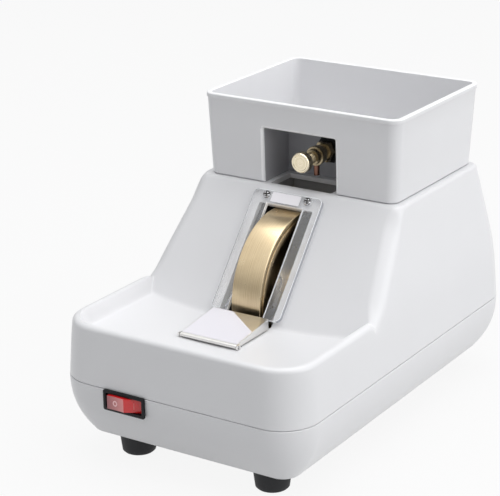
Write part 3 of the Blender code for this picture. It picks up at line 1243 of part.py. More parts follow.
def build_inlet(frame, looks):
    """The mains inlet in the back wall, with its pins and screws."""
    y0 = BODY_DEPTH + GAP
    at = (INLET_X, y0, INLET_Z)
    outline = rounded_rectangle(-INLET_PLATE_WIDTH / 2, INLET_PLATE_WIDTH / 2, -INLET_PLATE_HEIGHT / 2,
                                INLET_PLATE_HEIGHT / 2, INLET_PLATE_HEIGHT / 4, 3)
    plate = prism(outline, 0, INLET_PLATE)
    inlet = finish("mains_inlet", turned(plate, "Y"), looks["nylon"], frame, at)
    half_x = INLET_BODY_WIDTH / 2
    half_z = INLET_BODY_HEIGHT / 2
    join(inlet, box(-half_x, half_x, -INLET_BODY_DEPTH, INLET_PLATE / 2, -half_z, half_z), "case", at)
    half_x = INLET_SOCKET_WIDTH / 2
    half_z = INLET_SOCKET_HEIGHT / 2
    chamfer = half_z * 0.5
    socket = [(-half_x, -half_z), (half_x, -half_z), (half_x, half_z - chamfer), (half_x - chamfer, half_z),
              (chamfer - half_x, half_z), (-half_x, half_z - chamfer)]
    back = INLET_PLATE - INLET_SOCKET_DEPTH
    tool = loft([[(x, y, z) for x, z in socket] for y in (back, INLET_PLATE + OVERRUN)])
    cut(inlet, tool, "socket", at)
    for i, (x, z) in enumerate(((-PIN_PITCH, -PIN_STEP / 2), (0, PIN_STEP / 2), (PIN_PITCH, -PIN_STEP / 2))):
        pin = box(x - PIN_THICKNESS / 2, x + PIN_THICKNESS / 2, back - PIN_THICKNESS, back + PIN_LENGTH,
                  z - PIN_WIDTH / 2, z + PIN_WIDTH / 2)
        join(inlet, pin, f"pin_{i}", at)
    for i, side in enumerate((-1, 1)):
        x = side * INLET_SCREW_X
        hole = INLET_SCREW_RADIUS + GAP
        neck = INLET_PLATE - INLET_SCREW_RADIUS
        wide = INLET_SCREW_HEAD_RADIUS + GAP
        above = INLET_PLATE + OVERRUN
        sink = revolve([(0, -OVERRUN), (hole, -OVERRUN), (hole, neck), (wide, INLET_PLATE),
                        (wide, above), (0, above)], SMALL_STEPS, DRILL_TURN)
        cut(inlet, turned(sink, "Y"), f"sink_{i}", (INLET_X + x, y0, INLET_Z))
        face = INLET_PLATE - GAP
        head = revolve([(0, -WALL), (INLET_SCREW_RADIUS, -WALL), (INLET_SCREW_RADIUS, neck),
                        (INLET_SCREW_HEAD_RADIUS, face), (0, face)], SMALL_STEPS, DRILL_TURN)
        finish(f"inlet_screw_{i + 1}", turned(head, "Y"), looks["screw"], frame, (INLET_X + x, y0, INLET_Z))


def build_drain(frame, looks):
    """The spout in the tray's back wall and the hose from the chamber to it."""
    at = (WHEEL_X, SPOUT_FACE_Y + GAP, SPOUT_Z)
    barb = SPOUT_RADIUS * BARB_SHARE
    inner = SPOUT_FACE_Y - SPOUT_PAD_Y + HOSE_GRIP
    profile = [(SPOUT_BORE, -inner), (barb, -inner), (barb, HOSE_GRIP - inner),
               (SPOUT_RADIUS, HOSE_GRIP - inner), (SPOUT_RADIUS, 0), (SPOUT_FLANGE_RADIUS, 0),
               (SPOUT_FLANGE_RADIUS, SPOUT_FLANGE), (barb, SPOUT_FLANGE), (barb, SPOUT_LENGTH / 2),
               (SPOUT_RADIUS, SPOUT_LENGTH * 0.6), (SPOUT_BORE + GAP * 2, SPOUT_LENGTH),
               (SPOUT_BORE, SPOUT_LENGTH)]
    finish("drain_spout", turned(revolve(profile, ROUND_STEPS), "Y"), looks["nylon"], frame, at)
    bore = DRAIN_RADIUS + GAP
    start = WHEEL_Y + DRAIN_LENGTH - HOSE_GRIP
    end = SPOUT_PAD_Y - GAP
    hose = sleeve(bore + HOSE_WALL, bore, start - WHEEL_Y, end - WHEEL_Y)
    finish("drain_hose", turned(hose, "Y"), looks["rubber"], frame, (WHEEL_X, WHEEL_Y, DRAIN_Z))


def build_valve(frame, looks):
    """The brass drip valve in the tank's bay."""
    wall_y = BAY_BACK_Y
    at = (VALVE_X, wall_y, VALVE_Z)
    nut_start = VALVE_WASHER + GAP
    hex_start = nut_start + VALVE_NUT_LENGTH + GAP
    body_start = hex_start + VALVE_HEX_LENGTH
    body_end = body_start + VALVE_BODY_LENGTH - VALVE_NECK_LENGTH
    neck_end = body_end + VALVE_NECK_LENGTH
    inside = TANK_WALL + VALVE_WASHER + VALVE_NUT_LENGTH + GAP * 6
    bore = NEEDLE_RADIUS + GAP
    ring = PIPE_FROM_BACK - VALVE_RING_LENGTH / 2
    profile = [(bore, -inside), (VALVE_SHANK_RADIUS, -inside), (VALVE_SHANK_RADIUS, body_start),
               (VALVE_BODY_RADIUS, body_start), (VALVE_BODY_RADIUS, ring), (VALVE_RING_RADIUS, ring),
               (VALVE_RING_RADIUS, ring + VALVE_RING_LENGTH), (VALVE_BODY_RADIUS, ring + VALVE_RING_LENGTH),
               (VALVE_BODY_RADIUS, body_end), (VALVE_NECK_RADIUS, body_end), (VALVE_NECK_RADIUS, neck_end),
               (bore, neck_end)]
    body = finish("valve_body", turned(revolve(profile, ROUND_STEPS), "-Y"), looks["brass"], frame, at)
    flat = nut(VALVE_HEX_WIDTH, VALVE_SHANK_RADIUS - GAP * 2, hex_start, body_start + GAP)
    join(body, turned(flat, "-Y"), "hexagon", at)
    pipe_y = wall_y - PIPE_FROM_BACK
    socket = revolve([(0, -VALVE_RING_RADIUS - OVERRUN), (PIPE_RADIUS + GAP, -VALVE_RING_RADIUS - OVERRUN),
                      (PIPE_RADIUS + GAP, -NEEDLE_PORT_DEPTH), (NEEDLE_RADIUS / 2, -NEEDLE_PORT_DEPTH),
                      (NEEDLE_RADIUS / 2, 0), (0, 0)], SMALL_STEPS, DRILL_TURN)
    cut(body, socket, "outlet", (VALVE_X, pipe_y, VALVE_Z))
    end = -NEEDLE_PORT_DEPTH - GAP
    pipe = sleeve(PIPE_RADIUS, PIPE_RADIUS - PIPE_WALL, -VALVE_BODY_RADIUS - PIPE_DROP, end, SMALL_STEPS)
    finish("outlet_pipe", pipe, looks["copper"], frame, (VALVE_X, pipe_y, VALVE_Z))
    lock = nut(VALVE_NUT_WIDTH, VALVE_SHANK_RADIUS + GAP, nut_start, nut_start + VALVE_NUT_LENGTH)
    finish("valve_lock_nut", turned(lock, "-Y"), looks["nylon"], frame, at)
    washer = sleeve(VALVE_NUT_WIDTH / 2, VALVE_SHANK_RADIUS + GAP, GAP, VALVE_WASHER)
    finish("valve_washer", turned(washer, "-Y"), looks["rubber"], frame, at)
    inner = TANK_WALL + GAP
    washer = sleeve(VALVE_NUT_WIDTH / 2, VALVE_SHANK_RADIUS + GAP, inner, inner + VALVE_WASHER)
    finish("valve_tank_washer", turned(washer, "Y"), looks["rubber"], frame, at)
    inner += VALVE_WASHER + GAP
    clamp = nut(VALVE_HEX_WIDTH * 1.1, VALVE_SHANK_RADIUS + GAP, inner, inner + VALVE_NUT_LENGTH)
    finish("valve_tank_nut", turned(clamp, "Y"), looks["brass"], frame, at)
    stem = make_empty("valve_stem_axis", frame, (VALVE_X, wall_y - neck_end, VALVE_Z))
    tip = neck_end - hex_start
    needle = revolve([(0, -tip), (NEEDLE_RADIUS * 0.4, -tip), (NEEDLE_RADIUS, NEEDLE_TIP - tip),
                      (NEEDLE_RADIUS, GAP * 2), (0, GAP * 2)], SMALL_STEPS)
    finish("valve_needle", turned(needle, "-Y"), looks["steel"], stem)
    knob = build_knob()
    finish("valve_knob", turned(knob, "-Y"), looks["brass"], stem)


def build_knob():
    """The knurled knob, hollow behind where it meets the needle."""
    near = GAP * 3
    far = near + KNOB_LENGTH
    count = KNOB_KNURLS * 2
    bevel = KNOB_RADIUS - KNOB_FACE_RADIUS
    rings = []
    for radius, height, knurled in ((KNOB_FACE_RADIUS, near, False), (KNOB_RADIUS, near + bevel, True),
                                    (KNOB_RADIUS, far - bevel, True), (KNOB_FACE_RADIUS, far, False)):
        ring = []
        for i in range(count):
            cut_in = KNOB_KNURL_DEPTH if knurled and i % 2 else 0
            angle = 2 * math.pi * i / count
            ring.append(((radius - cut_in) * math.cos(angle), (radius - cut_in) * math.sin(angle), height))
        rings.append(ring)
    return loft(rings)


def build_feet(frame, looks):
    """Four rubber feet, each with its screw from below."""
    top = -GAP
    bottom = -FOOT_HEIGHT
    head_z = top - FOOT_WEB
    hole = FOOT_SCREW_RADIUS + GAP
    round_off = FOOT_BOTTOM_RADIUS * 0.08
    for name, (x, y) in zip(CORNER_NAMES, feet_places()):
        profile = [(hole, top), (hole, head_z), (FOOT_COUNTERBORE_RADIUS, head_z),
                   (FOOT_COUNTERBORE_RADIUS, bottom), (FOOT_BOTTOM_RADIUS - round_off, bottom),
                   (FOOT_BOTTOM_RADIUS, bottom + round_off), (FOOT_TOP_RADIUS, top)]
        finish(f"foot_{name}", revolve(profile, ROUND_STEPS), looks["rubber"], frame, (x, y, -TRAY_HEIGHT))
        screw = pan_screw(FOOT_SCREW_RADIUS, FOOT_SCREW_HEAD_RADIUS, FOOT_SCREW_HEAD, FOOT_WEB + WALL)
        seat = head_z - TRAY_HEIGHT - GAP
        finish(f"foot_screw_{name}", turned(screw, "-Z"), looks["screw"], frame, (x, y, seat))


def build_case_screws(frame, looks):
    """The screws from the tray up into the housing's bosses."""
    for name, (x, y) in zip(CORNER_NAMES, boss_places()):
        screw = pan_screw(HOUSING_SCREW_RADIUS, HOUSING_SCREW_HEAD_RADIUS, HOUSING_SCREW_HEAD,
                          HOUSING_SCREW_LENGTH)
        seat = (x, y, CASE_SCREW_SEAT - GAP)
        finish(f"case_screw_{name}", turned(screw, "-Z"), looks["screw"], frame, seat)


# Places of the inner works
FRONT_BEARING_X = MOTOR_START + SHIELD_THICKNESS
SHAFT_END = MOTOR_START + SHIELD_THICKNESS + MOTOR_LENGTH + SHIELD_THICKNESS
MOTOR_MID_X = WHEEL_X + MOTOR_START + SHIELD_THICKNESS + MOTOR_LENGTH / 2
MOUNT_Z = FLOOR_Z + MOUNT_CLEARANCE
HINGE_STUD_Y = REST_FRONT_Y + HINGE_LEAF_DEPTH * 0.62
REST_FLOOR_Z = deck_height(abs(WHEEL_X) + REST_HALF_WIDTH + HINGE_EAR + GAP)
REST_PIN_Z = REST_FLOOR_Z + GAP + REST_KNUCKLE_RADIUS
DRAIN_Z = WHEEL_Z - CHAMBER_RADIUS
SPOUT_Z = DRAIN_Z
SPOUT_PAD_RADIUS = SPOUT_FLANGE_RADIUS + GAP
SPOUT_FACE_Y = BODY_DEPTH - tray_tuck(SPOUT_Z + SPOUT_PAD_RADIUS)
SPOUT_PAD_Y = BODY_DEPTH - tray_tuck(SPOUT_Z - SPOUT_PAD_RADIUS) - WALL
CASE_SCREW_SEAT = -WALL * 3
FRONT_REACH = -ROCKER_PIVOT_DEPTH - min(y for x, y in rocker_outline())
FRONT_Y = (FRONT_REACH - SPOUT_FACE_Y - GAP - SPOUT_LENGTH) / 2


def build():
    """Put the whole edger together."""
    clear_scene()
    looks = make_materials()
    frame = make_empty("body_frame", None, (0, FRONT_Y, PARTING_Z))
    panel = make_empty("panel_frame", frame, (0, PANEL_TOP_Y, TOP_HEIGHT), (PANEL_SLOPE, 0, 0))
    build_tray(frame, looks)
    build_housing(frame, panel, looks)
    build_tank(frame, looks)
    build_guard(panel, looks)
    build_rest(frame, looks)
    build_chamber(frame, looks)
    build_wheel(frame, looks)
    build_motor(frame, looks)
    build_electrics(frame, looks)
    build_switch(frame, looks)
    build_inlet(frame, looks)
    build_drain(frame, looks)
    build_valve(frame, looks)
    build_feet(frame, looks)
    build_case_screws(frame, looks)
    bpy.context.view_layer.update()


build()
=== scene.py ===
import json
import math

import bmesh
import bpy
from mathutils import Euler, Matrix, Vector


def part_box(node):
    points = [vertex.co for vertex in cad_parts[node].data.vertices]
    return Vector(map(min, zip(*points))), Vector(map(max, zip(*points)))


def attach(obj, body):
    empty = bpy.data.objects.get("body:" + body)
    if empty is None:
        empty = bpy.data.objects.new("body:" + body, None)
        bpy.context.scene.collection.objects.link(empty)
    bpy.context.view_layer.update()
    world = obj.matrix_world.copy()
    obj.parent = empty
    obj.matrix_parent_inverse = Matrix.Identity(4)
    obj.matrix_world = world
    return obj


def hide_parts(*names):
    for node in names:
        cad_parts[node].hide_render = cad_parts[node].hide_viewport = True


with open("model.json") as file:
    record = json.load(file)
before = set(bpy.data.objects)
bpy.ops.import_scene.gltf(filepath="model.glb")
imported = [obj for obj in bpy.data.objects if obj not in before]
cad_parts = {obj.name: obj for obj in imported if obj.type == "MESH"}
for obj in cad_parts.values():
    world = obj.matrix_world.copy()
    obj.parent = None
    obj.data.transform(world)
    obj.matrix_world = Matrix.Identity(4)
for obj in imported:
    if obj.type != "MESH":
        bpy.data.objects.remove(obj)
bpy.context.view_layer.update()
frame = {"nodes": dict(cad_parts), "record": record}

NUMBER = "NodeSocketFloat"
GEOMETRY = "NodeSocketGeometry"


def srgb(red, green, blue):
    """A colour written as a screen shows it, turned into the renderer's own values."""
    values = [v / 255 for v in (red, green, blue)]
    return (*(v / 12.92 if v <= 0.04045 else ((v + 0.055) / 1.055) ** 2.4 for v in values), 1.0)


class Sheet:
    """A node tree with short ways to add and wire its nodes."""

    def __init__(self, tree):
        self.tree = tree

    def put(self, socket, value):
        """Link or set one socket."""
        if isinstance(value, bpy.types.NodeSocket):
            self.tree.links.new(value, socket)
        else:
            socket.default_value = value

    def node(self, kind, *values, **named):
        """Add a node: values fill its inputs in order, a capital names an input and a small letter a setting."""
        made = self.tree.nodes.new(kind)
        for name in [name for name in named if name[0].islower()]:
            setattr(made, name, named.pop(name))
        for socket, value in zip(made.inputs, values):
            self.put(socket, value)
        for name, value in named.items():
            self.put(made.inputs[name.replace("_", " ")], value)
        return made

    def maths(self, operation, *values):
        """A Math node's result."""
        return self.node("ShaderNodeMath", *values, operation=operation).outputs[0]

    def times(self, value, factor):
        """A value multiplied."""
        return self.maths("MULTIPLY", value, factor)

    def between(self, low, high, share):
        """The number a share of the way from low to high."""
        return self.maths("ADD", low, self.times(self.maths("SUBTRACT", high, low), share))

    def remap(self, value, low, high, to_low, to_high):
        """A value moved from one range to another, held inside it."""
        return self.node("ShaderNodeMapRange", value, low, high, to_low, to_high).outputs["Result"]

    def vector(self, x, y, z):
        """A vector from three numbers."""
        return self.node("ShaderNodeCombineXYZ", x, y, z).outputs["Vector"]

    def parts(self, vector):
        """A vector's three numbers, by name."""
        return self.node("ShaderNodeSeparateXYZ", vector).outputs

    def place(self):
        """The surface point, in the object's own coordinates."""
        return self.node("ShaderNodeTexCoord").outputs["Object"]

    def noise(self, vector, scale, detail=2.0, roughness=0.5):
        """A noise value between 0 and 1."""
        made = self.node("ShaderNodeTexNoise", Vector=vector, Scale=scale, Detail=detail, Roughness=roughness)
        return made.outputs["Fac"]

    def blend(self, share, one, other):
        """Two colours mixed by a share."""
        made = self.node("ShaderNodeMix", data_type="RGBA")
        for name, value in (("Factor_Float", share), ("A_Color", one), ("B_Color", other)):
            self.put(next(s for s in made.inputs if s.identifier == name), value)
        return next(s for s in made.outputs if s.identifier == "Result_Color")

    def rays(self, *kinds):
        """1 for any of these kinds of ray."""
        path = self.node("ShaderNodeLightPath").outputs
        share = path[f"Is {kinds[0]} Ray"]
        for kind in kinds[1:]:
            share = self.maths("MAXIMUM", share, path[f"Is {kind} Ray"])
        return share

    def show(self, share, one, other, end="Material Output"):
        """Send two shaders, mixed by a share, to the surface."""
        self.put(self.tree.nodes[end].inputs["Surface"], self.node("ShaderNodeMixShader", share, one, other).outputs[0])


class Group(Sheet):
    """A node group with named inputs and outputs."""

    def __init__(self, name, kind, inputs, outputs):
        super().__init__(bpy.data.node_groups.new(name, kind))
        for way, sockets in (("INPUT", inputs), ("OUTPUT", outputs)):
            for key, value in sockets.items():
                socket = self.tree.interface.new_socket(key, in_out=way, socket_type=self.kind(value))
                if not isinstance(value, str):
                    socket.default_value = value
        self.given = self.tree.nodes.new("NodeGroupInput").outputs
        self.result = self.tree.nodes.new("NodeGroupOutput").inputs

    def kind(self, value):
        """The kind of socket that a value needs; a kind's own name stands for itself."""
        if isinstance(value, (str, int, float)):
            return value if isinstance(value, str) else "NodeSocketInt" if isinstance(value, int) else NUMBER
        return "NodeSocketColor" if len(value) == 4 else "NodeSocketVector"


# Groups that the finishes share


def surface_group(name, draw, **inputs):
    """A group whose colour, roughness and height change over the surface as a drawing function says."""
    inputs = {"Colour": srgb(200, 200, 200), "Shade": srgb(150, 150, 150), "Roughness Low": 0.3, "Roughness High": 0.4,
              **{key.replace("_", " "): value for key, value in inputs.items()}}
    group = Group(name, "ShaderNodeTree", inputs, {"Colour": "NodeSocketColor", "Roughness": NUMBER, "Height": NUMBER})
    given, result = group.given, group.result
    tint, dull, height = draw(group, given)
    group.put(result["Colour"], group.blend(tint, given["Colour"], given["Shade"]))
    group.put(result["Roughness"], group.between(given["Roughness Low"], given["Roughness High"], dull))
    group.put(result["Height"], height)
    return group.tree


def draw_moulded(group, given):
    """Moulded plastic: a fine spark-eroded grain, and a soft drift of colour and gloss."""
    drift = group.noise(group.place(), given["Drift Scale"], 3.0)
    return drift, drift, group.noise(group.place(), given["Grain Scale"], 1.5)


def draw_turned(group, given):
    """Turned metal: fine lines round the vector's Z axis, in duller and brighter patches."""
    parts = group.parts(given["Vector"])
    squares = [group.times(parts[axis], parts[axis]) for axis in "XY"]
    radius = group.maths("SQRT", group.maths("ADD", *squares))
    fine = group.noise(group.vector(radius, parts["Z"], 0.0), given["Pitch Scale"])
    patch = group.noise(given["Vector"], 90.0, 4.0, 0.6)
    lines = group.times(group.remap(fine, 0.4, 0.62, 0.0, 1.0), group.remap(patch, 0.3, 0.7, 0.35, 1.0))
    return lines, patch, fine


def draw_smudged(group, given):
    """Polished sheet: finger smudges and dried water."""
    smudge = group.remap(group.noise(group.place(), given["Smudge Scale"], 4.0, 0.6), 0.5, 0.75, 0.0, 1.0)
    return smudge, smudge, group.noise(group.place(), given["Smudge Scale"])


def make_edge_group():
    """A mask that is 1 along worn edges and 0 on open faces, broken up by noise."""
    group = Group("edge_wear", "ShaderNodeTree", {"Radius": 0.0006, "Break Scale": 400.0}, {"Mask": NUMBER})
    soft = group.node("ShaderNodeBevel", Radius=group.given["Radius"], samples=4).outputs["Normal"]
    true = group.node("ShaderNodeNewGeometry").outputs["True Normal"]
    turn = group.node("ShaderNodeVectorMath", soft, true, operation="DOT_PRODUCT").outputs["Value"]
    broken = group.remap(group.noise(group.place(), group.given["Break Scale"], 3.0), 0.35, 0.6, 0.2, 1.0)
    group.put(group.result["Mask"], group.times(group.remap(turn, 0.75, 0.985, 1.0, 0.0), broken))
    return group.tree


MOULDED = surface_group("moulded_surface", draw_moulded, Grain_Scale=2600.0, Drift_Scale=14.0)
TURNED = surface_group("turned_lines", draw_turned, Vector=(0.0, 0.0, 0.0), Pitch_Scale=5000.0)
SMUDGES = surface_group("water_smudges", draw_smudged, Smudge_Scale=60.0)
EDGE_WEAR = make_edge_group()


# Finishes


def new_finish(name, **constants):
    """A material with plain values set on its Principled shader; returns it, its sheet and the shader's inputs."""
    material = bpy.data.materials.new(name)
    material.use_nodes = True
    shader = material.node_tree.nodes["Principled BSDF"].inputs
    for key, value in constants.items():
        shader[key.replace("_", " ")].default_value = value
    return material, Sheet(material.node_tree), shader


def bump(sheet, shader, height, strength, depth):
    """Feed a height to the shader's normal."""
    made = sheet.node("ShaderNodeBump", Height=height, Strength=strength, Distance=depth)
    sheet.put(shader["Normal"], made.outputs["Normal"])


def cover(made, group, colour, shade, low, high, strength, depth, wear=None, **inputs):
    """Feed a new material from a shared group, with worn edges of another colour if asked."""
    material, sheet, shader = made
    skin = sheet.node("ShaderNodeGroup", node_tree=group, Colour=colour, Shade=shade, Roughness_Low=low,
                      Roughness_High=high, **inputs).outputs
    top = skin["Colour"]
    if wear:
        top = sheet.blend(sheet.node("ShaderNodeGroup", node_tree=EDGE_WEAR).outputs["Mask"], top, srgb(*wear))
    sheet.put(shader["Base Color"], top)
    sheet.put(shader["Roughness"], skin["Roughness"])
    bump(sheet, shader, skin["Height"], strength, depth)
    return material


def moulded(name, colour, shade, low, high, grain=2600.0, depth=0.00001, wear=None, **constants):
    """A moulded plastic, or a cast, painted or printed surface."""
    return cover(new_finish(name, **constants), MOULDED, srgb(*colour), srgb(*shade), low, high, 0.35, depth, wear,
                 Grain_Scale=grain)


def turned(name, colour, shade, low, high, node, turn=(0, 0, 0), pitch=5000.0):
    """A metal turned about the middle of a frame node; turn brings that axis upright."""
    made = new_finish(name, Metallic=1.0)
    sheet = made[1]
    centre = sum(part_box(node), Vector()) / 2
    shifted = sheet.node("ShaderNodeVectorMath", sheet.place(), tuple(centre), operation="SUBTRACT").outputs["Vector"]
    upright = sheet.node("ShaderNodeMapping", Vector=shifted, Rotation=turn).outputs["Vector"]
    return cover(made, TURNED, srgb(*colour), srgb(*shade), low, high, 0.3, 0.00001, Vector=upright, Pitch_Scale=pitch)


def polished(name, colour, low, high, **constants):
    """A polished sheet, dulled where it is smudged."""
    colour = srgb(*colour)
    dull = (*(v * 0.88 for v in colour[:3]), 1.0)
    return cover(new_finish(name, **constants), SMUDGES, colour, dull, low, high, 0.04, 0.0004)


def clear_finish():
    """Clear acrylic with a faint haze, which lets the lamps reach what lies under it."""
    material = polished("clear_acrylic_sheet", (255, 255, 255), 0.01, 0.06, Transmission_Weight=1.0, IOR=1.49)
    sheet = Sheet(material.node_tree)
    clear = sheet.node("ShaderNodeBsdfTransparent", Color=(1, 1, 1, 1)).outputs[0]
    haze = sheet.node("ShaderNodeBsdfDiffuse", Color=(0.95, 0.96, 0.98, 1)).outputs[0]
    glass = sheet.tree.nodes["Principled BSDF"].outputs[0]
    hazed = sheet.node("ShaderNodeMixShader", 0.08, glass, haze).outputs[0]
    sheet.show(sheet.rays("Shadow", "Diffuse"), hazed, clear)
    return material


def lens_painted_sheen_finish():
    """The left half of the rocker's lens with a painted sheen: a pale pink, paler towards the ridge."""
    material, sheet, shader = new_finish("red_lens_painted_sheen", Roughness=0.22, Coat_Weight=0.4)
    low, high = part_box("switch_rocker")
    share = sheet.remap(sheet.parts(sheet.place())["X"], low.x, (low.x + high.x) / 2 + 0.0015, 0.0, 1.0)
    sheet.put(shader["Base Color"], sheet.blend(share, srgb(158, 92, 98), srgb(240, 152, 150)))
    bump(sheet, shader, sheet.noise(sheet.place(), 900.0), 0.2, 0.000004)
    return material


def chamber_finish():
    """The dark plastic of the wheel chamber, painted lighter towards the top and back of its hopper's mouth: painted
    light where light falls in.
    """
    material = moulded("dark_chamber_plastic", (58, 58, 60), (50, 50, 52), 0.45, 0.6, wear=(96, 96, 98))
    sheet = Sheet(material.node_tree)
    base = material.node_tree.nodes["Principled BSDF"].inputs["Base Color"]
    parts = sheet.parts(sheet.place())
    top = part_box("wheel_chamber")[1].z
    # Painted light: pale grey blended in towards the back and top of the hopper's mouth
    painted_light_share = sheet.times(sheet.remap(parts["Y"], 0.004, 0.010, 0.0, 1.0),
                        sheet.remap(parts["Z"], top - 0.022, top - 0.004, 0.0, 1.0))
    sheet.put(base, sheet.blend(painted_light_share, base.links[0].from_socket, srgb(168, 168, 170)))
    return material


UPRIGHT_X = (0, math.radians(90), 0)
UPRIGHT_Y = (math.radians(90), 0, 0)

# By the record's material slot
FINISHES = {
    "shell_grey": moulded("shell_grey_abs", (229, 229, 231), (225, 225, 227), 0.285, 0.35),
    "dark_plastic": chamber_finish(),
    "clear_acrylic": clear_finish(),
    "stainless_steel": polished("brushed_stainless", (232, 231, 228), 0.28, 0.42, Metallic=1.0),
    "plated_steel": polished("bright_plated_steel", (184, 184, 186), 0.14, 0.3, Metallic=1.0),
    "bronze_bond": turned("bronze_diamond_bond", (228, 209, 174), (192, 168, 130), 0.22, 0.36, "grinding_band",
                          UPRIGHT_X, 2600.0),
    "turned_brass": turned("turned_brass_body", (176, 162, 134), (106, 95, 74), 0.14, 0.28, "valve_body", UPRIGHT_Y),
    "copper_tube": turned("drawn_copper", (132, 96, 82), (102, 74, 62), 0.26, 0.4, "valve_body"),
    "aluminium": moulded("cast_aluminium", (172, 173, 176), (150, 151, 155), 0.35, 0.5, 1800.0, 0.00006, Metallic=1.0),
    "black_rubber": moulded("black_foot_rubber", (22, 23, 27), (17, 18, 21), 0.6, 0.8, 1800.0, 0.00003, (48, 49, 53)),
    "black_nylon": moulded("black_moulded_nylon", (17, 19, 23), (12, 13, 16), 0.4, 0.55, 2400.0, 0.00001, (44, 46, 50),
                           Specular_IOR_Level=0.25),
    "red_lens": moulded("red_rocker_lens", (226, 36, 40), (204, 26, 30), 0.14, 0.24, 900.0, 0.000004, Coat_Weight=0.4),
    "motor_paint": moulded("motor_enamel", (60, 62, 66), (48, 50, 54), 0.4, 0.55, 1200.0, 0.00005),
    "capacitor_case": moulded("capacitor_film_case", (226, 225, 218), (216, 214, 206), 0.35, 0.5),
}
# Painted shade: a darker grey for the walls of the deep valve bay, where little light reaches
BAY_PAINTED_SHADE = moulded("bay_painted_shade_abs", (172, 172, 176), (160, 160, 165), 0.35, 0.5)
# Painted highlight: a whiter tone for the tank's rim top and the rounding of the bay's front edge
RIM_PAINTED_HIGHLIGHT = moulded("rim_painted_highlight_abs", (249, 249, 250), (246, 246, 248), 0.285, 0.34)
BARE_LABEL = moulded("bare_white_vinyl", (251, 249, 253), (247, 245, 250), 0.32, 0.44, 1400.0, 0.000006)
BARE_STICKER = moulded("bare_white_sticker", (229, 227, 233), (224, 222, 229), 0.34, 0.46, 900.0, 0.00002)
CLEAR_MARK = moulded("printed_mark", (250, 208, 208), (246, 196, 196), 0.3, 0.4)
FAINT_MARK = moulded("worn_mark", (232, 120, 116), (222, 96, 94), 0.3, 0.4)
# Painted sheen for the left half of the rocker's face
LENS_PAINTED_SHEEN = lens_painted_sheen_finish()
# Sawn acrylic: frosted white edges with a painted glow from a weak emission
SAWN_ACRYLIC_GLOW = moulded("sawn_acrylic_edge_painted_glow", (250, 251, 253), (236, 238, 242), 0.2, 0.4, 1500.0, 0.00003,
                       Emission_Color=(1, 1, 1, 1), Emission_Strength=0.12)
SHADED_ACRYLIC = moulded("shaded_acrylic_edge", (176, 178, 184), (158, 160, 166), 0.2, 0.4, 1500.0, 0.00003)
# Painted shade: a dark finish for the faces inside the screws' cross recesses
RECESS_PAINTED_SHADE = moulded("recess_painted_shade", (74, 71, 68), (48, 46, 45), 0.4, 0.6, 900.0, 0.00003)
KNOB_BRASS = turned("polished_knob_brass", (240, 229, 204), (218, 205, 174), 0.12, 0.24, "valve_knob", UPRIGHT_Y)

for entry in frame["record"]["subparts"]:
    mesh = frame["nodes"][entry["node"]].data
    mesh.materials.clear()
    mesh.materials.append(FINISHES[entry["material_slot"]])


# Sizes of the casing in metres: X to the right, Y back from the front face, Z up from the parting line

FRONT_Y = -0.142471
PARTING_Z = 0.0539
CASING_FRAME = Matrix.Translation((0, FRONT_Y, PARTING_Z))
GAP = 0.0003
OVERRUN = 0.002
WALL = 0.003
SEAM_CHAMFER = 0.00045
HALF_WIDTH = 0.0875
BODY_DEPTH = 0.280
CORNER_RADIUS = 0.025
TRAY_HEIGHT = 0.0377
TRAY_TUCK = 0.0151
TRAY_TUCK_POWER = 2.3
TRAY_EDGE_ROUND = 0.0025
FLOOR_Z = WALL - TRAY_HEIGHT
LIP_HEIGHT = 0.003
LIP_THICKNESS = 0.0012
FOOT_HEIGHT = 0.0162
FOOT_TOP_RADIUS = 0.0124
FOOT_BOTTOM_RADIUS = 0.0105
FOOT_WEB = 0.005
FOOT_WELL_RADIUS = 0.0045
FEET = ((-0.0493, 0.0339), (0.0493, 0.0339), (-0.0430, 0.2461), (0.0430, 0.2461))
FOOT_SCREW_RADIUS = 0.0016
BOSS_IN = 0.0245
BOSSES = ((-0.063, BOSS_IN), (0.063, BOSS_IN), (-0.063, 0.2555), (0.063, 0.2555))
BOSS_RADIUS = 0.0045
BOSS_SCREW_RADIUS = 0.0017
BOSS_HEAD_RADIUS = 0.0034
REAR_BOSS_HEIGHT = 0.030
RIM_HEIGHT = 0.0372
RIM_INSET = 0.0019
RIM_ROUND = 0.003
RIM_CREST = 0.0012
RIM_SLOPE = 0.005
DECK_HEIGHT = 0.0231
DISH_RISE = 0.0058
DECK_FILLET = 0.0018
TOP_HALF_WIDTH = 0.0744
TOP_BACK_INSET = 0.022
TOP_CORNER_RADIUS = 0.010
TOP_ROUND = 0.0022
WALL_BEND = 0.008
PANEL_SLOPE = math.radians(50.0)
PANEL_TAN = math.tan(PANEL_SLOPE)
PANEL_SIN = math.sin(PANEL_SLOPE)
PANEL_COS = math.cos(PANEL_SLOPE)
PANEL_CORNER = 0.0095
WHEEL_X = -0.003
WHEEL_Y = 0.1369
WHEEL_Z = FLOOR_Z + 0.0102 + 0.0563
WHEEL_RADIUS = 0.050
WHEEL_HALF_WIDTH = 0.0104
TOP_HEIGHT = WHEEL_Z + 0.0563 + 0.0061
PANEL_TOP_Y = WHEEL_Y - (WHEEL_RADIUS - 0.015712 - (TOP_HEIGHT - WHEEL_Z) * PANEL_COS) / PANEL_SIN
PANEL_LENGTH = (TOP_HEIGHT - DECK_HEIGHT) / PANEL_SIN
RIM_END_Y = PANEL_TOP_Y - (TOP_HEIGHT - RIM_HEIGHT) / PANEL_TAN
WINDOW_HALF_WIDTH = 0.0198
WINDOW_TOP = 0.0131
DECK_SLOT_HALF_WIDTH = 0.0175
DECK_SLOT_FRONT = 0.060
TANK_Z = TOP_HEIGHT + GAP
TANK_HALF_WIDTH = TOP_HALF_WIDTH - 0.0051
TANK_FRONT_Y = PANEL_TOP_Y + 0.0027
TANK_BACK_Y = BODY_DEPTH - TOP_BACK_INSET - 0.0030
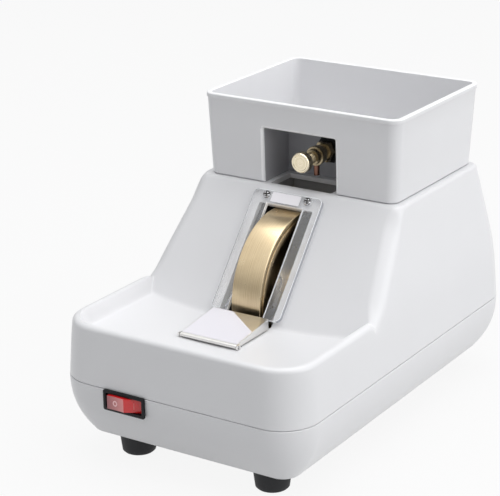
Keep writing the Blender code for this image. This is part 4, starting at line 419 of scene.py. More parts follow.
TANK_HEIGHT = 0.0545
TANK_FLARE = 0.0019
TANK_CORNER = 0.0075
TANK_WALL = 0.0026
TANK_FLOOR = 0.003
TANK_RIM_HEIGHT = 0.0032
TANK_RIM_PROUD = 0.0007
TANK_PEG_RADIUS = 0.0025
TANK_PEG_IN = 0.013
BAY_HALF_WIDTH = 0.0265
BAY_HEIGHT = 0.0362
BAY_BACK_Y = TANK_FRONT_Y + 0.0305
BAY_CORNER = 0.0011
BAY_EDGE = 0.0018
CHUTE_HALF_WIDTH = 0.0226
CHUTE_DEPTH = 0.0245
CHUTE_LIP = 0.0015
VALVE_AT = (0.0063, BAY_BACK_Y, TANK_Z + 0.0200)
VALVE_HOLE_RADIUS = 0.005
SWITCH_AT = (0.05415 - HALF_WIDTH, 0, -0.00585)
SWITCH_BODY_HALF_WIDTH = 0.0136
SWITCH_BODY_HALF_HEIGHT = 0.0056
INLET_AT = (0.0415 - HALF_WIDTH, BODY_DEPTH, 0.0185)
INLET_HALF_WIDTH = 0.024
INLET_HALF_HEIGHT = 0.01125
INLET_BODY_HALF_WIDTH = 0.01375
INLET_BODY_HALF_HEIGHT = 0.0099
INLET_SCREW_X = 0.020
INLET_HOLE_RADIUS = 0.0017
LEAF_SCREW_X = 0.011
LEAF_SCREW_Y = 0.05139
LEAF_HOLE_RADIUS = 0.0012
SPOUT_Z = WHEEL_Z - 0.0545
SPOUT_RADIUS = 0.0054
SPOUT_PAD_RADIUS = 0.0088
MOTOR_X = WHEEL_X + 0.0193 + 0.002 + 0.003 + 0.023
GUARD_HALF_WIDTH = 0.0255
GUARD_TOP = 0.0042
GUARD_LENGTH = PANEL_LENGTH - GUARD_TOP - 0.0041
GUARD_THICKNESS = 0.0028
GUARD_SLOT_HALF_WIDTH = 0.0133
GUARD_SLOT_TOP = 0.0131
GUARD_SCREW_X = 0.0151
GUARD_SCREW_Y = -0.0078
SCREW_HOLE_RADIUS = 0.0016


# Mesh building

CIRCLE_START = 0.03

def lofted(rings, ends=True, loop=False):
    """Skin a list of rings that have the same number of points."""
    bm = bmesh.new()
    rows = [[bm.verts.new(point) for point in ring] for ring in rings]
    for lower, upper in zip(rows, rows[1:] + rows[:1] if loop else rows[1:]):
        for i in range(len(lower)):
            j = (i + 1) % len(lower)
            bm.faces.new((lower[i], lower[j], upper[j], upper[i]))
    if ends and not loop:
        bm.faces.new(rows[0][::-1])
        bm.faces.new(rows[-1])
    return bm


def level(outline, z):
    """A flat ring at a height."""
    return [(x, y, z) for x, y in outline]


def block(x0, x1, y0, y1, z0, z1):
    """A cutter with six flat sides."""
    return raised([(x0, y0), (x1, y0), (x1, y1), (x0, y1)], z0, z1)


def raised(outline, z0, z1, chamfer=0.0):
    """A flat convex outline raised from z0 to z1, its two edges chamfered if asked."""
    if chamfer == 0.0:
        return lofted([level(outline, z0), level(outline, z1)])
    cx, cy = (sum(values) / len(outline) for values in zip(*outline))
    wide = max(abs(x - cx) for x, y in outline)
    tall = max(abs(y - cy) for x, y in outline)
    small = [(cx + (x - cx) * (1 - chamfer / wide), cy + (y - cy) * (1 - chamfer / tall)) for x, y in outline]
    rings = ((small, z0), (outline, z0 + chamfer), (outline, z1 - chamfer), (small, z1))
    return lofted([level(ring, z) for ring, z in rings])


def rounded(x0, x1, y0, y1, radius, steps):
    """Points of a rectangle with round corners, counter-clockwise."""
    points = []
    for cx, cy, start in ((x1 - radius, y0 + radius, -90), (x1 - radius, y1 - radius, 0),
                          (x0 + radius, y1 - radius, 90), (x0 + radius, y0 + radius, 180)):
        for i in range(steps + 1):
            angle = math.radians(start + 90 * i / steps)
            points.append((cx + radius * math.cos(angle), cy + radius * math.sin(angle)))
    return points


def casing_outline(inset, steps):
    """The casing's plan at the parting line, moved in."""
    return rounded(inset - HALF_WIDTH, HALF_WIDTH - inset, inset, BODY_DEPTH - inset, CORNER_RADIUS - inset, steps)


def circle_points(radius, count):
    """Points of a circle, turned a little off the axes."""
    turns = [CIRCLE_START + 2 * math.pi * i / count for i in range(count)]
    return [(radius * math.cos(a), radius * math.sin(a)) for a in turns]


def quarter(count):
    """Steps of a quarter circle, each as 1 less its sine and 1 less its cosine."""
    return [(1 - math.sin(a), 1 - math.cos(a)) for a in (math.pi / 2 * i / (count - 1) for i in range(count))]


def spun(profile, steps):
    """Turn a closed profile of (radius, height) points round the Z axis."""
    bm = bmesh.new()
    rows = [[bm.verts.new((x, y, height)) for x, y in (circle_points(radius, steps) if radius else [(0, 0)])]
            for radius, height in profile]
    for a, b in zip(rows, rows[1:] + rows[:1]):
        if len(a) == len(b) == 1:
            continue
        for i in range(steps):
            j = (i + 1) % steps
            if len(a) == 1:
                bm.faces.new((a[0], b[j], b[i]))
            elif len(b) == 1:
                bm.faces.new((a[i], a[j], b[0]))
            else:
                bm.faces.new((a[i], a[j], b[j], b[i]))
    return bm


def bar(radius, z0, z1, steps):
    """A round cutter or pin along Z."""
    return spun([(0, z0), (radius, z0), (radius, z1), (0, z1)], steps)


def soft_corners(profile, size, steps):
    """A closed profile with each corner that is off the axis rounded by a small arc."""
    points = []
    for i, corner in enumerate(profile):
        here, before, after = Vector(corner), Vector(profile[i - 1]), Vector(profile[(i + 1) % len(profile)])
        cut = min(size, min((before - here).length, (after - here).length) * 0.45)
        if here.x <= 0 or cut <= 0:
            points.append(tuple(here))
            continue
        a = here + (before - here).normalized() * cut
        b = here + (after - here).normalized() * cut
        for t in (k / steps for k in range(steps + 1)):
            spot = a * (1 - t) ** 2 + here * 2 * t * (1 - t) + b * t * t
            points.append((max(spot.x, 0.0), spot.y))
    return points


AXIS_TURNS = {"X": Matrix.Rotation(math.radians(90), 4, "Y"), "Y": Matrix.Rotation(math.radians(-90), 4, "X"),
              "-Y": Matrix.Rotation(math.radians(90), 4, "X"), "Z": Matrix.Identity(4)}
PANEL_FRAME = Matrix.Translation((0, PANEL_TOP_Y, TOP_HEIGHT)) @ Matrix.Rotation(PANEL_SLOPE, 4, "X")


def placed(bm, at, axis="Z"):
    """Point a shape's Z along an axis of the casing and move it to a casing point."""
    bm.transform(Matrix.Translation(at) @ AXIS_TURNS[axis])
    return bm


def on_panel(bm):
    """Move a shape from the sloping panel's own frame, whose Y runs up the slope, to the casing."""
    bm.transform(PANEL_FRAME)
    return bm


def new_object(name, bm):
    """A scene object from a shape in the casing's terms."""
    if bm.faces:
        bmesh.ops.recalc_face_normals(bm, faces=bm.faces)
    bm.transform(CASING_FRAME)
    made = bpy.data.objects.new(name, bpy.data.meshes.new(name))
    bm.to_mesh(made.data)
    bm.free()
    bpy.context.scene.collection.objects.link(made)
    return made


class Changes(list):
    """The Boolean steps of a piece, in order."""

    def cut(self, shape, at=(0, 0, 0), axis="Z"):
        """Take a shape away at a casing point."""
        self.append(("DIFFERENCE", placed(shape, at, axis)))

    def add(self, shape, at=(0, 0, 0), axis="Z"):
        """Join a shape on at a casing point."""
        self.append(("UNION", placed(shape, at, axis)))


def make_piece(name, bm, slot, body="casing", stands_for=(), changes=(), smooth=32.0, finish=None, bevel=0.0,
               grown=None):
    """A finished piece on its body, with its Booleans, bevel or node growth applied."""
    piece = new_object(name, bm)
    finish = finish or FINISHES[slot]
    tools = []
    for number, (operation, shape) in enumerate(changes):
        tools.append(new_object(f"{name}_tool_{number}", shape))
        change = piece.modifiers.new(tools[-1].name, "BOOLEAN")
        change.operation = operation
        change.object = tools[-1]
        change.solver = "EXACT"
    if bevel:
        edges = piece.modifiers.new("soft_edges", "BEVEL")
        edges.width = bevel
        edges.segments = 2
        edges.limit_method = "ANGLE"
        edges.angle_limit = math.radians(40)
    if grown:
        tree, values = grown
        growth = piece.modifiers.new("growth", "NODES")
        growth.node_group = tree
        names = {item.name: item.identifier for item in tree.interface.items_tree if item.in_out == "INPUT"}
        for key, value in {"Finish": finish, **values}.items():
            growth[names[key]] = value
    if piece.modifiers:
        bpy.context.view_layer.update()
        plain = bpy.data.meshes.new_from_object(piece.evaluated_get(bpy.context.evaluated_depsgraph_get()))
        piece.modifiers.clear()
        piece.data = plain
        for tool in tools:
            bpy.data.objects.remove(tool, do_unlink=True)
    piece.data.shade_smooth()
    piece.data.set_sharp_from_angle(angle=math.radians(smooth))
    piece.data.materials.clear()
    piece.data.materials.append(finish)
    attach(piece, body)
    if stands_for:
        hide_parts(*stands_for)
    return piece


def dress(piece, finish, test):
    """Give the faces that pass a test of centre and normal, in the casing's terms, a second finish."""
    piece.data.materials.append(finish)
    for face in piece.data.polygons:
        if test(face.center - CASING_FRAME.translation, face.normal):
            face.material_index = len(piece.data.materials) - 1


# Upper housing


def smooth_max(a, b, width):
    """The larger of two values, rounded off where they are closer than the width."""
    share = max(width - abs(a - b), 0) / width
    return max(a, b) + share * share * width / 4


def ease(t):
    """A smooth step from 0 to 1."""
    t = min(max(t, 0.0), 1.0)
    return t * t * (3 - 2 * t)


def bend(z):
    """How far past the wall's bend a height is, eased in over the bend."""
    over, full = z - RIM_HEIGHT, TOP_HEIGHT - RIM_HEIGHT
    return (over + math.hypot(over, WALL_BEND)) / 2 * full / ((full + math.hypot(full, WALL_BEND)) / 2)


def wall_inset(z, top_inset):
    """How far a wall has leaned in at a height, given how far it has at the top."""
    return front_inset(z) + (top_inset - RIM_INSET) / (TOP_HEIGHT - RIM_HEIGHT) * bend(z)


def front_inset(z):
    """How far the front wall has leaned in at a height."""
    return RIM_INSET * min(z, RIM_HEIGHT) / RIM_HEIGHT


def side_inset(z):
    """How far the side walls have leaned in at a height."""
    return wall_inset(z, HALF_WIDTH - TOP_HALF_WIDTH)


def deck_height(x):
    """The dished deck, lowest in the middle."""
    return DECK_HEIGHT + DISH_RISE * (x / HALF_WIDTH) ** 2


def deck_end(x):
    """Where the deck meets the panel."""
    return PANEL_TOP_Y - (TOP_HEIGHT - deck_height(x)) / PANEL_TAN


class Skin:
    """One skin of the upper housing: the outer one, or the one that bounds its hollow."""

    def __init__(self, inset, sides, arc, end, edge, rim, wall_shares):
        self.inset, self.arc, self.end, self.edge, self.rim, self.wall_shares = inset, arc, end, edge, rim, wall_shares
        self.stations = self.make_stations(sides)
        self.rounds = [self.edge_round(station) for station in self.stations]
        self.crests = [self.crest(station, wide) for station, (wide, tall) in zip(self.stations, self.rounds)]

    def make_stations(self, sides):
        """Every station round the plan: a kind and where it lies, from the front-left corner's middle."""
        keys = [CORNER_RADIUS, deck_end(0) - DECK_FILLET, RIM_END_Y + DECK_FILLET,
                PANEL_TOP_Y - TOP_ROUND, PANEL_TOP_Y + PANEL_CORNER, BODY_DEPTH - CORNER_RADIUS]
        side = keys[:1]
        for start, end, count in zip(keys, keys[1:], sides):
            side += [start + (end - start) * (i + 1) / count for i in range(count)]

        def corner(kind, start, turn, count):
            return [(kind, start + turn * i / count) for i in range(count)]

        arc, half = self.arc, self.arc // 2
        return (corner("front_left", 225, 45, half) + corner("front", -1, 2, self.end)
                + corner("front_right", -90, 90, arc) + [("right", y) for y in side[:-1]]
                + corner("back_right", 0, 90, arc) + corner("back", 1, -2, self.end)
                + corner("back_left", 90, 90, arc) + [("left", y) for y in side[:0:-1]]
                + corner("front_left", 180, 45, half))

    def place(self, station, z, extra):
        """The plan point of a station at a height, moved in from the wall."""
        kind, at = station
        inset = self.inset + extra
        half = HALF_WIDTH - side_inset(z) - inset
        front = front_inset(z) + inset
        back = BODY_DEPTH - wall_inset(z, TOP_BACK_INSET) - inset
        front_radius = CORNER_RADIUS - inset
        lean_share = bend(z) / (TOP_HEIGHT - RIM_HEIGHT)
        back_radius = CORNER_RADIUS + (TOP_CORNER_RADIUS - CORNER_RADIUS) * lean_share - inset
        if kind == "front":
            return at * (half - front_radius), front
        if kind == "back":
            return at * (half - back_radius), back
        if kind in ("right", "left"):
            start = PANEL_TOP_Y + PANEL_CORNER
            if at > start:
                at = start + (at - start) / (BODY_DEPTH - CORNER_RADIUS - start) * (back - back_radius - start)
            if at <= CORNER_RADIUS:
                at = front + front_radius
            return half if kind == "right" else -half, at
        radius = front_radius if kind.startswith("front") else back_radius
        cx = (half - radius) * (1 if kind.endswith("right") else -1)
        cy = front + radius if kind.startswith("front") else back - radius
        angle = math.radians(at)
        return cx + radius * math.cos(angle), cy + radius * math.sin(angle)

    def roof(self, x, y, offset):
        """The height of the top surface, where offset is the distance from the wall's line."""
        deck, panel, top = deck_height(x), TOP_HEIGHT - (PANEL_TOP_Y - y) * PANEL_TAN, TOP_HEIGHT
        if self.inset > 0:
            deck, panel, top = deck - WALL, panel - WALL * PANEL_TAN / PANEL_SIN, top - WALL
        else:
            deck += (RIM_HEIGHT - deck) * ease(1 - (offset - RIM_ROUND - RIM_CREST) / RIM_SLOPE)
        return -smooth_max(-top, -smooth_max(deck, panel, DECK_FILLET), TOP_ROUND)

    def edge_round(self, station):
        """Width and height of the rounding between the wall and the top surface."""
        kind, at = station
        if kind.startswith("front"):
            wide = tall = RIM_ROUND
        elif kind.startswith("back"):
            wide = tall = TOP_ROUND
        else:
            grown, done = (ease((at - y + PANEL_CORNER) / (2 * PANEL_CORNER)) for y in (RIM_END_Y, PANEL_TOP_Y))
            wide = PANEL_CORNER * (1 - done) + TOP_ROUND * done
            tall = PANEL_CORNER * math.sqrt(1 + PANEL_TAN ** 2) * (1 - done) + TOP_ROUND * done
            wide, tall = (RIM_ROUND + (size - RIM_ROUND) * grown for size in (wide, tall))
        return (max(wide - WALL, GAP), max(tall - 2 * WALL, GAP)) if self.inset > 0 else (wide, tall)

    def crest(self, station, wide):
        """The height at which the top surface ends, at the inner side of the edge's rounding."""
        height = RIM_HEIGHT
        for _ in range(4):
            height = self.roof(*self.place(station, height, wide), wide)
        return height

    def ring(self, spot):
        """A ring with a point at each station; spot gives its height and offset from crest and rounding."""
        ring = []
        for station, crest, (wide, tall) in zip(self.stations, self.crests, self.rounds):
            z, offset = spot(crest, wide, tall)
            x, y = self.place(station, crest if z is None else z, offset)
            ring.append((x, y, self.roof(x, y, offset) if z is None else z))
        return ring

    def rings(self, bottom, chamfer):
        """Closed rings from the bottom of the wall, over the edge and in past the rim."""
        low = bottom + chamfer
        rings = [self.ring(lambda crest, wide, tall: (bottom, chamfer))] if chamfer > 0 else []
        rings += [self.ring(lambda crest, wide, tall: (low + (crest - tall - low) * share, 0))
                  for share in self.wall_shares]
        rings += [self.ring(lambda crest, wide, tall: (crest - tall * up, wide * inward))
                  for up, inward in quarter(self.edge + 1)[1:]]
        return rings + [self.ring(lambda crest, wide, tall: (None, wide + (RIM_CREST + RIM_SLOPE) * i / self.rim))
                        for i in range(1, self.rim + 1)]

    def core(self, ring):
        """Rows of points that fill the top inside the last ring, first row at the front."""
        columns = self.end + self.arc
        rows = (len(ring) - 2 * columns) // 2
        front = ring[:columns + 1]
        right = ring[columns:columns + rows + 1]
        back = ring[columns + rows:2 * columns + rows + 1][::-1]
        left = ring[:1] + ring[2 * columns + rows:][::-1]
        reach = 2 * CORNER_RADIUS
        grid = [front]
        for j in range(1, rows):
            row = [left[j]]
            for i in range(1, columns):
                share = (front[i][0] - front[0][0]) / (front[-1][0] - front[0][0])
                x, y = (left[j][axis] + (right[j][axis] - left[j][axis]) * share for axis in (0, 1))
                y_front, y_back = (line[0][1] + (line[-1][1] - line[0][1]) * share for line in (front, back))
                near = max(1 - (y - y_front) / reach, 0) ** 2
                far = max(1 - (y_back - y) / reach, 0) ** 2
                y += (front[i][1] - y_front) * near + (back[i][1] - y_back) * far
                away = abs(y - deck_end(left[j][0])) / CORNER_RADIUS
                y += (deck_end(x) - deck_end(left[j][0])) * max(1 - away, 0)
                row.append((x, y, self.roof(x, y, HALF_WIDTH)))
            grid.append(row + [right[j]])
        return grid + [back]

    def solid(self, bottom, chamfer=0.0):
        """The closed solid under this skin, down to a flat bottom."""
        rings = self.rings(bottom, chamfer)
        bm = lofted(rings, ends=False)
        made = list(bm.verts)
        count = len(self.stations)
        known = dict(zip(rings[-1], made[-count:]))
        grid = [[known[p] if p in known else bm.verts.new(p) for p in row] for row in self.core(rings[-1])]
        for a, b in zip(grid, grid[1:]):
            for i in range(len(a) - 1):
                bm.faces.new((a[i], a[i + 1], b[i + 1], b[i]))
        bm.faces.new(made[:count][::-1])
        return bm


TANK_PEGS = [(side * (TANK_HALF_WIDTH - TANK_PEG_IN), y)
             for y in (TANK_FRONT_Y + TANK_PEG_IN, TANK_BACK_Y - TANK_PEG_IN) for side in (-1, 1)]


def make_housing():
    """The moulded top half: dished deck inside a rim, sloping panel and the tank's seat."""
    outer = Skin(0, (10, 26, 22, 16, 12), 18, 36, 8, 10,
                 (0, 0.12, 0.24, 0.32, 0.38, 0.43, 0.48, 0.53, 0.60, 0.70, 0.80, 0.90, 1.0))
    inner = Skin(WALL, (3, 9, 8, 6, 3), 8, 10, 3, 1, (0, 0.32, 0.48, 0.72, 1.0))
    changes = Changes()
    changes.cut(inner.solid(-OVERRUN))
    changes.cut(raised(casing_outline(WALL - LIP_THICKNESS - GAP, 10), -OVERRUN, LIP_HEIGHT + GAP))
    window = rounded(WHEEL_X - WINDOW_HALF_WIDTH, WHEEL_X + WINDOW_HALF_WIDTH, -PANEL_LENGTH, -WINDOW_TOP, 0.0008, 4)
    changes.cut(on_panel(raised(window, -WALL - OVERRUN, OVERRUN)))
    slot = rounded(WHEEL_X - DECK_SLOT_HALF_WIDTH, WHEEL_X + DECK_SLOT_HALF_WIDTH, DECK_SLOT_FRONT,
                   deck_end(0) + OVERRUN, 0.0015, 5)
    changes.cut(raised(slot, DECK_HEIGHT - WALL - OVERRUN, DECK_HEIGHT + OVERRUN))
    front = TANK_FRONT_Y + CHUTE_LIP
    chute = rounded(-CHUTE_HALF_WIDTH, CHUTE_HALF_WIDTH, front, front + CHUTE_DEPTH, 0.001, 4)
    changes.cut(raised(chute, TOP_HEIGHT - WALL - OVERRUN, TOP_HEIGHT + OVERRUN))
    for x, y in BOSSES:
        top = deck_height(x) - WALL / 2 if y < WHEEL_Y else REAR_BOSS_HEIGHT
        changes.add(bar(BOSS_RADIUS, GAP, top, 24), (x, y, 0))
        if y > WHEEL_Y:
            reach = BOSS_IN - WALL / 2 - side_inset(top)
            ends = sorted((x, x + math.copysign(reach, x)))
            changes.add(block(*ends, y - WALL / 3, y + WALL / 3, LIP_HEIGHT * 2, top - WALL / 3))
            changes.add(block(x - WALL / 3, x + WALL / 3, y, y + reach, LIP_HEIGHT * 2, top - WALL / 6))
        changes.cut(bar(BOSS_SCREW_RADIUS + GAP, -OVERRUN, top - WALL, 20), (x, y, 0))
    for x, y in TANK_PEGS:
        peg_hole = bar(TANK_PEG_RADIUS + GAP, TOP_HEIGHT - WALL - OVERRUN, TOP_HEIGHT + OVERRUN, 20)
        changes.cut(peg_hole, (x, y, 0))
    half_x, half_z = INLET_HALF_WIDTH + GAP, INLET_HALF_HEIGHT + GAP
    pad = raised(rounded(-half_x, half_x, -half_z, half_z, 0.0015, 5), -WALL * 1.5, -GAP / 10)
    changes.add(pad, INLET_AT, "Y")
    x, y, z = INLET_AT
    for side in (-1, 1):
        hole = bar(SCREW_HOLE_RADIUS, -WALL - OVERRUN, OVERRUN, 20)
        changes.cut(on_panel(placed(hole, (WHEEL_X + side * GUARD_SCREW_X, GUARD_SCREW_Y, 0))))
        leaf_hole = bar(LEAF_HOLE_RADIUS, DECK_HEIGHT - WALL - OVERRUN, DECK_HEIGHT + OVERRUN, 20)
        changes.cut(leaf_hole, (WHEEL_X + side * LEAF_SCREW_X, LEAF_SCREW_Y, 0))
        changes.cut(bar(INLET_HOLE_RADIUS, -WALL * 2, OVERRUN, 20), (x + side * INLET_SCREW_X, y, z), "Y")
    half_x, half_z = INLET_BODY_HALF_WIDTH + GAP, INLET_BODY_HALF_HEIGHT + GAP
    changes.cut(block(x - half_x, x + half_x, y - WALL * 3, y + OVERRUN, z - half_z, z + half_z))
    make_piece("housing_shell", outer.solid(GAP, SEAM_CHAMFER), "shell_grey", stands_for=["upper_housing"],
               changes=changes)


# Base tray


def tray_tuck(z):
    """How far the tray's walls have tucked in at a height below the parting line."""
    return TRAY_TUCK * (max(-z, 0) / TRAY_HEIGHT) ** TRAY_TUCK_POWER


def tray_rings(inset, top, floor, steps, corner_steps, chamfer=0.0):
    """Rings of the tray from its flat floor up to the parting line, or past it."""
    knee = floor + TRAY_EDGE_ROUND / 2
    low = tray_tuck(floor) + inset + TRAY_EDGE_ROUND
    high = tray_tuck(knee) + inset
    rings = [(low + (high - low) * (1 - out), floor + (knee - floor) * up) for out, up in quarter(7)[:6]]
    for z in (knee * (1 - i / steps) for i in range(steps)):
        rings.append((tray_tuck(z) + inset, z))
    rings += [(inset, top - chamfer), (inset + chamfer, top)] if chamfer > 0 else [(inset, top)]
    return [level(casing_outline(edge, corner_steps), z) for edge, z in rings]


SPOUT_FACE_Y = BODY_DEPTH - tray_tuck(SPOUT_Z + SPOUT_PAD_RADIUS)
SPOUT_DEEP = SPOUT_FACE_Y - (BODY_DEPTH - tray_tuck(SPOUT_Z - SPOUT_PAD_RADIUS) - WALL)


def make_tray():
    """The lower half of the casing, tucked in like a boat's hull."""
    changes = Changes()
    changes.cut(lofted(tray_rings(WALL, OVERRUN, FLOOR_Z, 10, 10)))
    lip, wall = (casing_outline(inset, 9) for inset in (WALL - LIP_THICKNESS, WALL))
    rings = ((wall, -WALL), (lip, -WALL), (lip, LIP_HEIGHT), (wall, LIP_HEIGHT))
    changes.add(lofted([level(ring, z) for ring, z in rings], loop=True))
    seat, low = -WALL * 3, -TRAY_HEIGHT - OVERRUN
    head, shank = BOSS_HEAD_RADIUS + GAP, BOSS_SCREW_RADIUS + GAP
    for x, y in BOSSES:
        changes.add(bar(BOSS_RADIUS, FLOOR_Z - WALL / 2, -GAP, 24), (x, y, 0))
        hole = spun([(0, low), (head, low), (head, seat), (shank, seat), (shank, OVERRUN), (0, OVERRUN)], 24)
        changes.cut(hole, (x, y, 0))
    for x, y in FEET:
        changes.cut(bar(FOOT_SCREW_RADIUS + GAP, low, FLOOR_Z + OVERRUN, 20), (x, y, 0))
    for i in range(7):
        x = MOTOR_X + (i - 3) * 0.0065
        vent = rounded(x - 0.0015, x + 0.0015, WHEEL_Y - 0.017, WHEEL_Y + 0.017, 0.0015, 5)
        changes.cut(raised(vent, low, FLOOR_Z + OVERRUN))
    x, _, z = SWITCH_AT
    half_x, low_z = SWITCH_BODY_HALF_WIDTH + GAP, z - SWITCH_BODY_HALF_HEIGHT - GAP
    changes.cut(block(x - half_x, x + half_x, -OVERRUN, WALL + OVERRUN, low_z, LIP_HEIGHT + OVERRUN))
    spout = (WHEEL_X, SPOUT_FACE_Y, SPOUT_Z)
    changes.add(bar(SPOUT_PAD_RADIUS, -SPOUT_DEEP, 0, 48), spout, "Y")
    changes.cut(bar(SPOUT_RADIUS + GAP, -SPOUT_DEEP - OVERRUN, OVERRUN, 32), spout, "Y")
    outer = lofted(tray_rings(0, 0, -TRAY_HEIGHT, 26, 20, SEAM_CHAMFER))
    make_piece("tray_shell", outer, "shell_grey", stands_for=["base_tray"], changes=changes)


# Water tank


def tank_ring(z, inset, share):
    """A ring of the tank at a height; share is how far up the wall it is."""
    flare = TANK_FLARE * share - inset
    return level(rounded(-TANK_HALF_WIDTH - flare, TANK_HALF_WIDTH + flare, TANK_FRONT_Y - flare,
                         TANK_BACK_Y + flare + TANK_FLARE * share, TANK_CORNER - inset, 12), z)


def bay_ring(wider, deeper):
    """The bay's opening, widened, at a depth behind the flared front wall."""
    outline = rounded(-BAY_HALF_WIDTH - wider, BAY_HALF_WIDTH + wider, TANK_Z - 0.006 - wider,
                      TANK_Z + BAY_HEIGHT + wider, BAY_CORNER + wider, 6)
    return [(x, TANK_FRONT_Y - TANK_FLARE * (z - TANK_Z) / TANK_HEIGHT + deeper, z) for x, z in outline]


def make_tank():
    """The open water tank, with its round rim bead and the bay in its front for the valve."""
    top, floor, wall, proud = TANK_Z + TANK_HEIGHT, TANK_Z + TANK_FLOOR, TANK_WALL, TANK_RIM_PROUD
    under, bead = top - TANK_RIM_HEIGHT, proud * 0.9
    rings = [tank_ring(TANK_Z, 0.0008, 0), tank_ring(TANK_Z + 0.0008, 0, 0)]
    rings += [tank_ring(TANK_Z + (under - TANK_Z) * share, 0, share) for share in (0.25, 0.5, 0.75)]
    rings += [tank_ring(under - 0.0009, 0, 1), tank_ring(under - 0.0003, -proud * 0.35, 1)]
    rings += [tank_ring(under + bead * up, -proud + bead * out * 0.6, 1) for out, up in quarter(5)]
    rings += [tank_ring(top - bead * 1.4 * down, -proud + bead * 1.4 * over, 1) for down, over in quarter(7)]
    rings += [tank_ring(top - bead * down, wall - bead * out, 1) for out, down in quarter(7)]
    rings += [tank_ring(floor + (top - floor) * share, wall, share) for share in (0.75, 0.5, 0.25)]
    rings += [tank_ring(floor + 0.0025 * down, wall + 0.0025 * over, 0) for down, over in quarter(6)]
    changes = Changes()
    outline = rounded(-BAY_HALF_WIDTH - wall, BAY_HALF_WIDTH + wall, TANK_Z + GAP, TANK_Z + BAY_HEIGHT + wall,
                      0.0012, 5)
    changes.add(lofted([[(x, y, z) for x, z in outline] for y in (TANK_FRONT_Y + GAP * 3, BAY_BACK_Y + wall)]))
    bay = [bay_ring(BAY_EDGE + 0.0006, -0.0023)]
    bay += [bay_ring(BAY_EDGE * wider, BAY_EDGE * deeper) for wider, deeper in quarter(6)]
    bay.append([(x, BAY_BACK_Y, z) for x, y, z in bay[-1]])
    changes.cut(lofted(bay))
    changes.cut(bar(VALVE_HOLE_RADIUS, -OVERRUN, wall + OVERRUN, 40), VALVE_AT, "Y")
    for x, y in TANK_PEGS:
        peg = bar(TANK_PEG_RADIUS, TOP_HEIGHT - WALL - TANK_PEG_RADIUS, TANK_Z + TANK_FLOOR / 2, 24)
        changes.add(peg, (x, y, 0))
    tank = make_piece("tank_shell", lofted(rings), "shell_grey", stands_for=["water_tank"], changes=changes)

    def in_bay(centre, margin):
        return abs(centre.x) < BAY_HALF_WIDTH + margin and centre.z < TANK_Z + BAY_HEIGHT + margin

    # Painted shade on the faces inside the bay
    dress(tank, BAY_PAINTED_SHADE, lambda centre, normal: in_bay(centre, 0.0002)
          and TANK_FRONT_Y + 0.0006 < centre.y < BAY_BACK_Y + 0.0002)
    # Painted highlight on the rim's top and on the rounding of the bay's front edge
    dress(tank, RIM_PAINTED_HIGHLIGHT, lambda centre, normal: (centre.z > top - 0.0011 and normal.z > 0.35)
          or (in_bay(centre, BAY_EDGE) and centre.y < TANK_FRONT_Y + BAY_EDGE
              and normal.y < -0.05 and max(abs(normal.x), abs(normal.z)) > 0.15))


# Geometry node trees for what repeats


class Growth(Group):
    """A geometry node tree with named inputs, ending in Realize Instances and Set Material."""

    def __init__(self, name, **inputs):
        inputs = {key.replace("_", " "): value for key, value in inputs.items()}
        super().__init__(name, "GeometryNodeTree", {"Geometry": GEOMETRY, **inputs, "Finish": "NodeSocketMaterial"},
                         {"Geometry": GEOMETRY})

    def up(self, height):
        """A vector along Z."""
        return self.vector(0.0, 0.0, height)

    def shape(self, kind, place=(0, 0, 0), scale=(1, 1, 1), **inputs):
        """One of Blender's own shapes, scaled and moved."""
        made = self.node("GeometryNodeMesh" + kind, **inputs).outputs["Mesh"]
        return self.node("GeometryNodeTransform", Geometry=made, Translation=place, Scale=scale).outputs["Geometry"]

    def joined(self, operation, first, *others):
        """An exact Boolean of shapes."""
        made = self.node("GeometryNodeMeshBoolean", operation=operation, solver="EXACT")
        if operation == "DIFFERENCE":
            self.put(made.inputs["Mesh 1"], first)
        else:
            others = (first, *others)
        for other in others:
            self.put(made.inputs["Mesh 2"], other)
        return made.outputs["Mesh"]

    def on_points(self, shape, **inputs):
        """A shape on each point that comes in."""
        return self.node("GeometryNodeInstanceOnPoints", Instance=shape, **{"Points": self.given["Geometry"], **inputs}
                         ).outputs["Instances"]

    def end(self, *shapes):
        """Join the shapes, realise them and give them the finish."""
        gathered = self.node("GeometryNodeJoinGeometry")
        for shape in shapes:
            self.put(gathered.inputs["Geometry"], shape)
        real = self.node("GeometryNodeRealizeInstances", Geometry=gathered.outputs["Geometry"]).outputs["Geometry"]
        painted = self.node("GeometryNodeSetMaterial", Geometry=real, Material=self.given["Finish"])
        self.put(self.result["Geometry"], painted.outputs["Geometry"])
        return self.tree


def make_knurl_tree():
    """Straight ribs round a knob's rim, added to the knob that comes in."""
    growth = Growth("knurled_rim", Radius=0.0064, Length=0.004, Rib=0.0004, Count=40, Place=(0.0, 0.0, 0.0),
                    Turn=(0.0, 0.0, 0.0))
    given = growth.given
    rib = growth.shape("Cone", growth.up(growth.times(given["Length"], -0.5)), Vertices=4, Radius_Top=given["Rib"],
                       Radius_Bottom=given["Rib"], Depth=given["Length"])
    radius = growth.maths("SUBTRACT", given["Radius"], growth.times(given["Rib"], 0.4))
    circle = growth.node("GeometryNodeMeshCircle", Vertices=given["Count"], Radius=radius).outputs["Mesh"]
    outwards = growth.node("FunctionNodeAlignRotationToVector", axis="X", pivot_axis="Z",
                           Vector=growth.node("GeometryNodeInputPosition").outputs["Position"]).outputs["Rotation"]
    ribs = growth.on_points(rib, Points=circle, Rotation=outwards)
    ring = growth.node("GeometryNodeTransform", Geometry=ribs, Translation=given["Place"], Rotation=given["Turn"])
    return growth.end(given["Geometry"], ring.outputs["Geometry"])


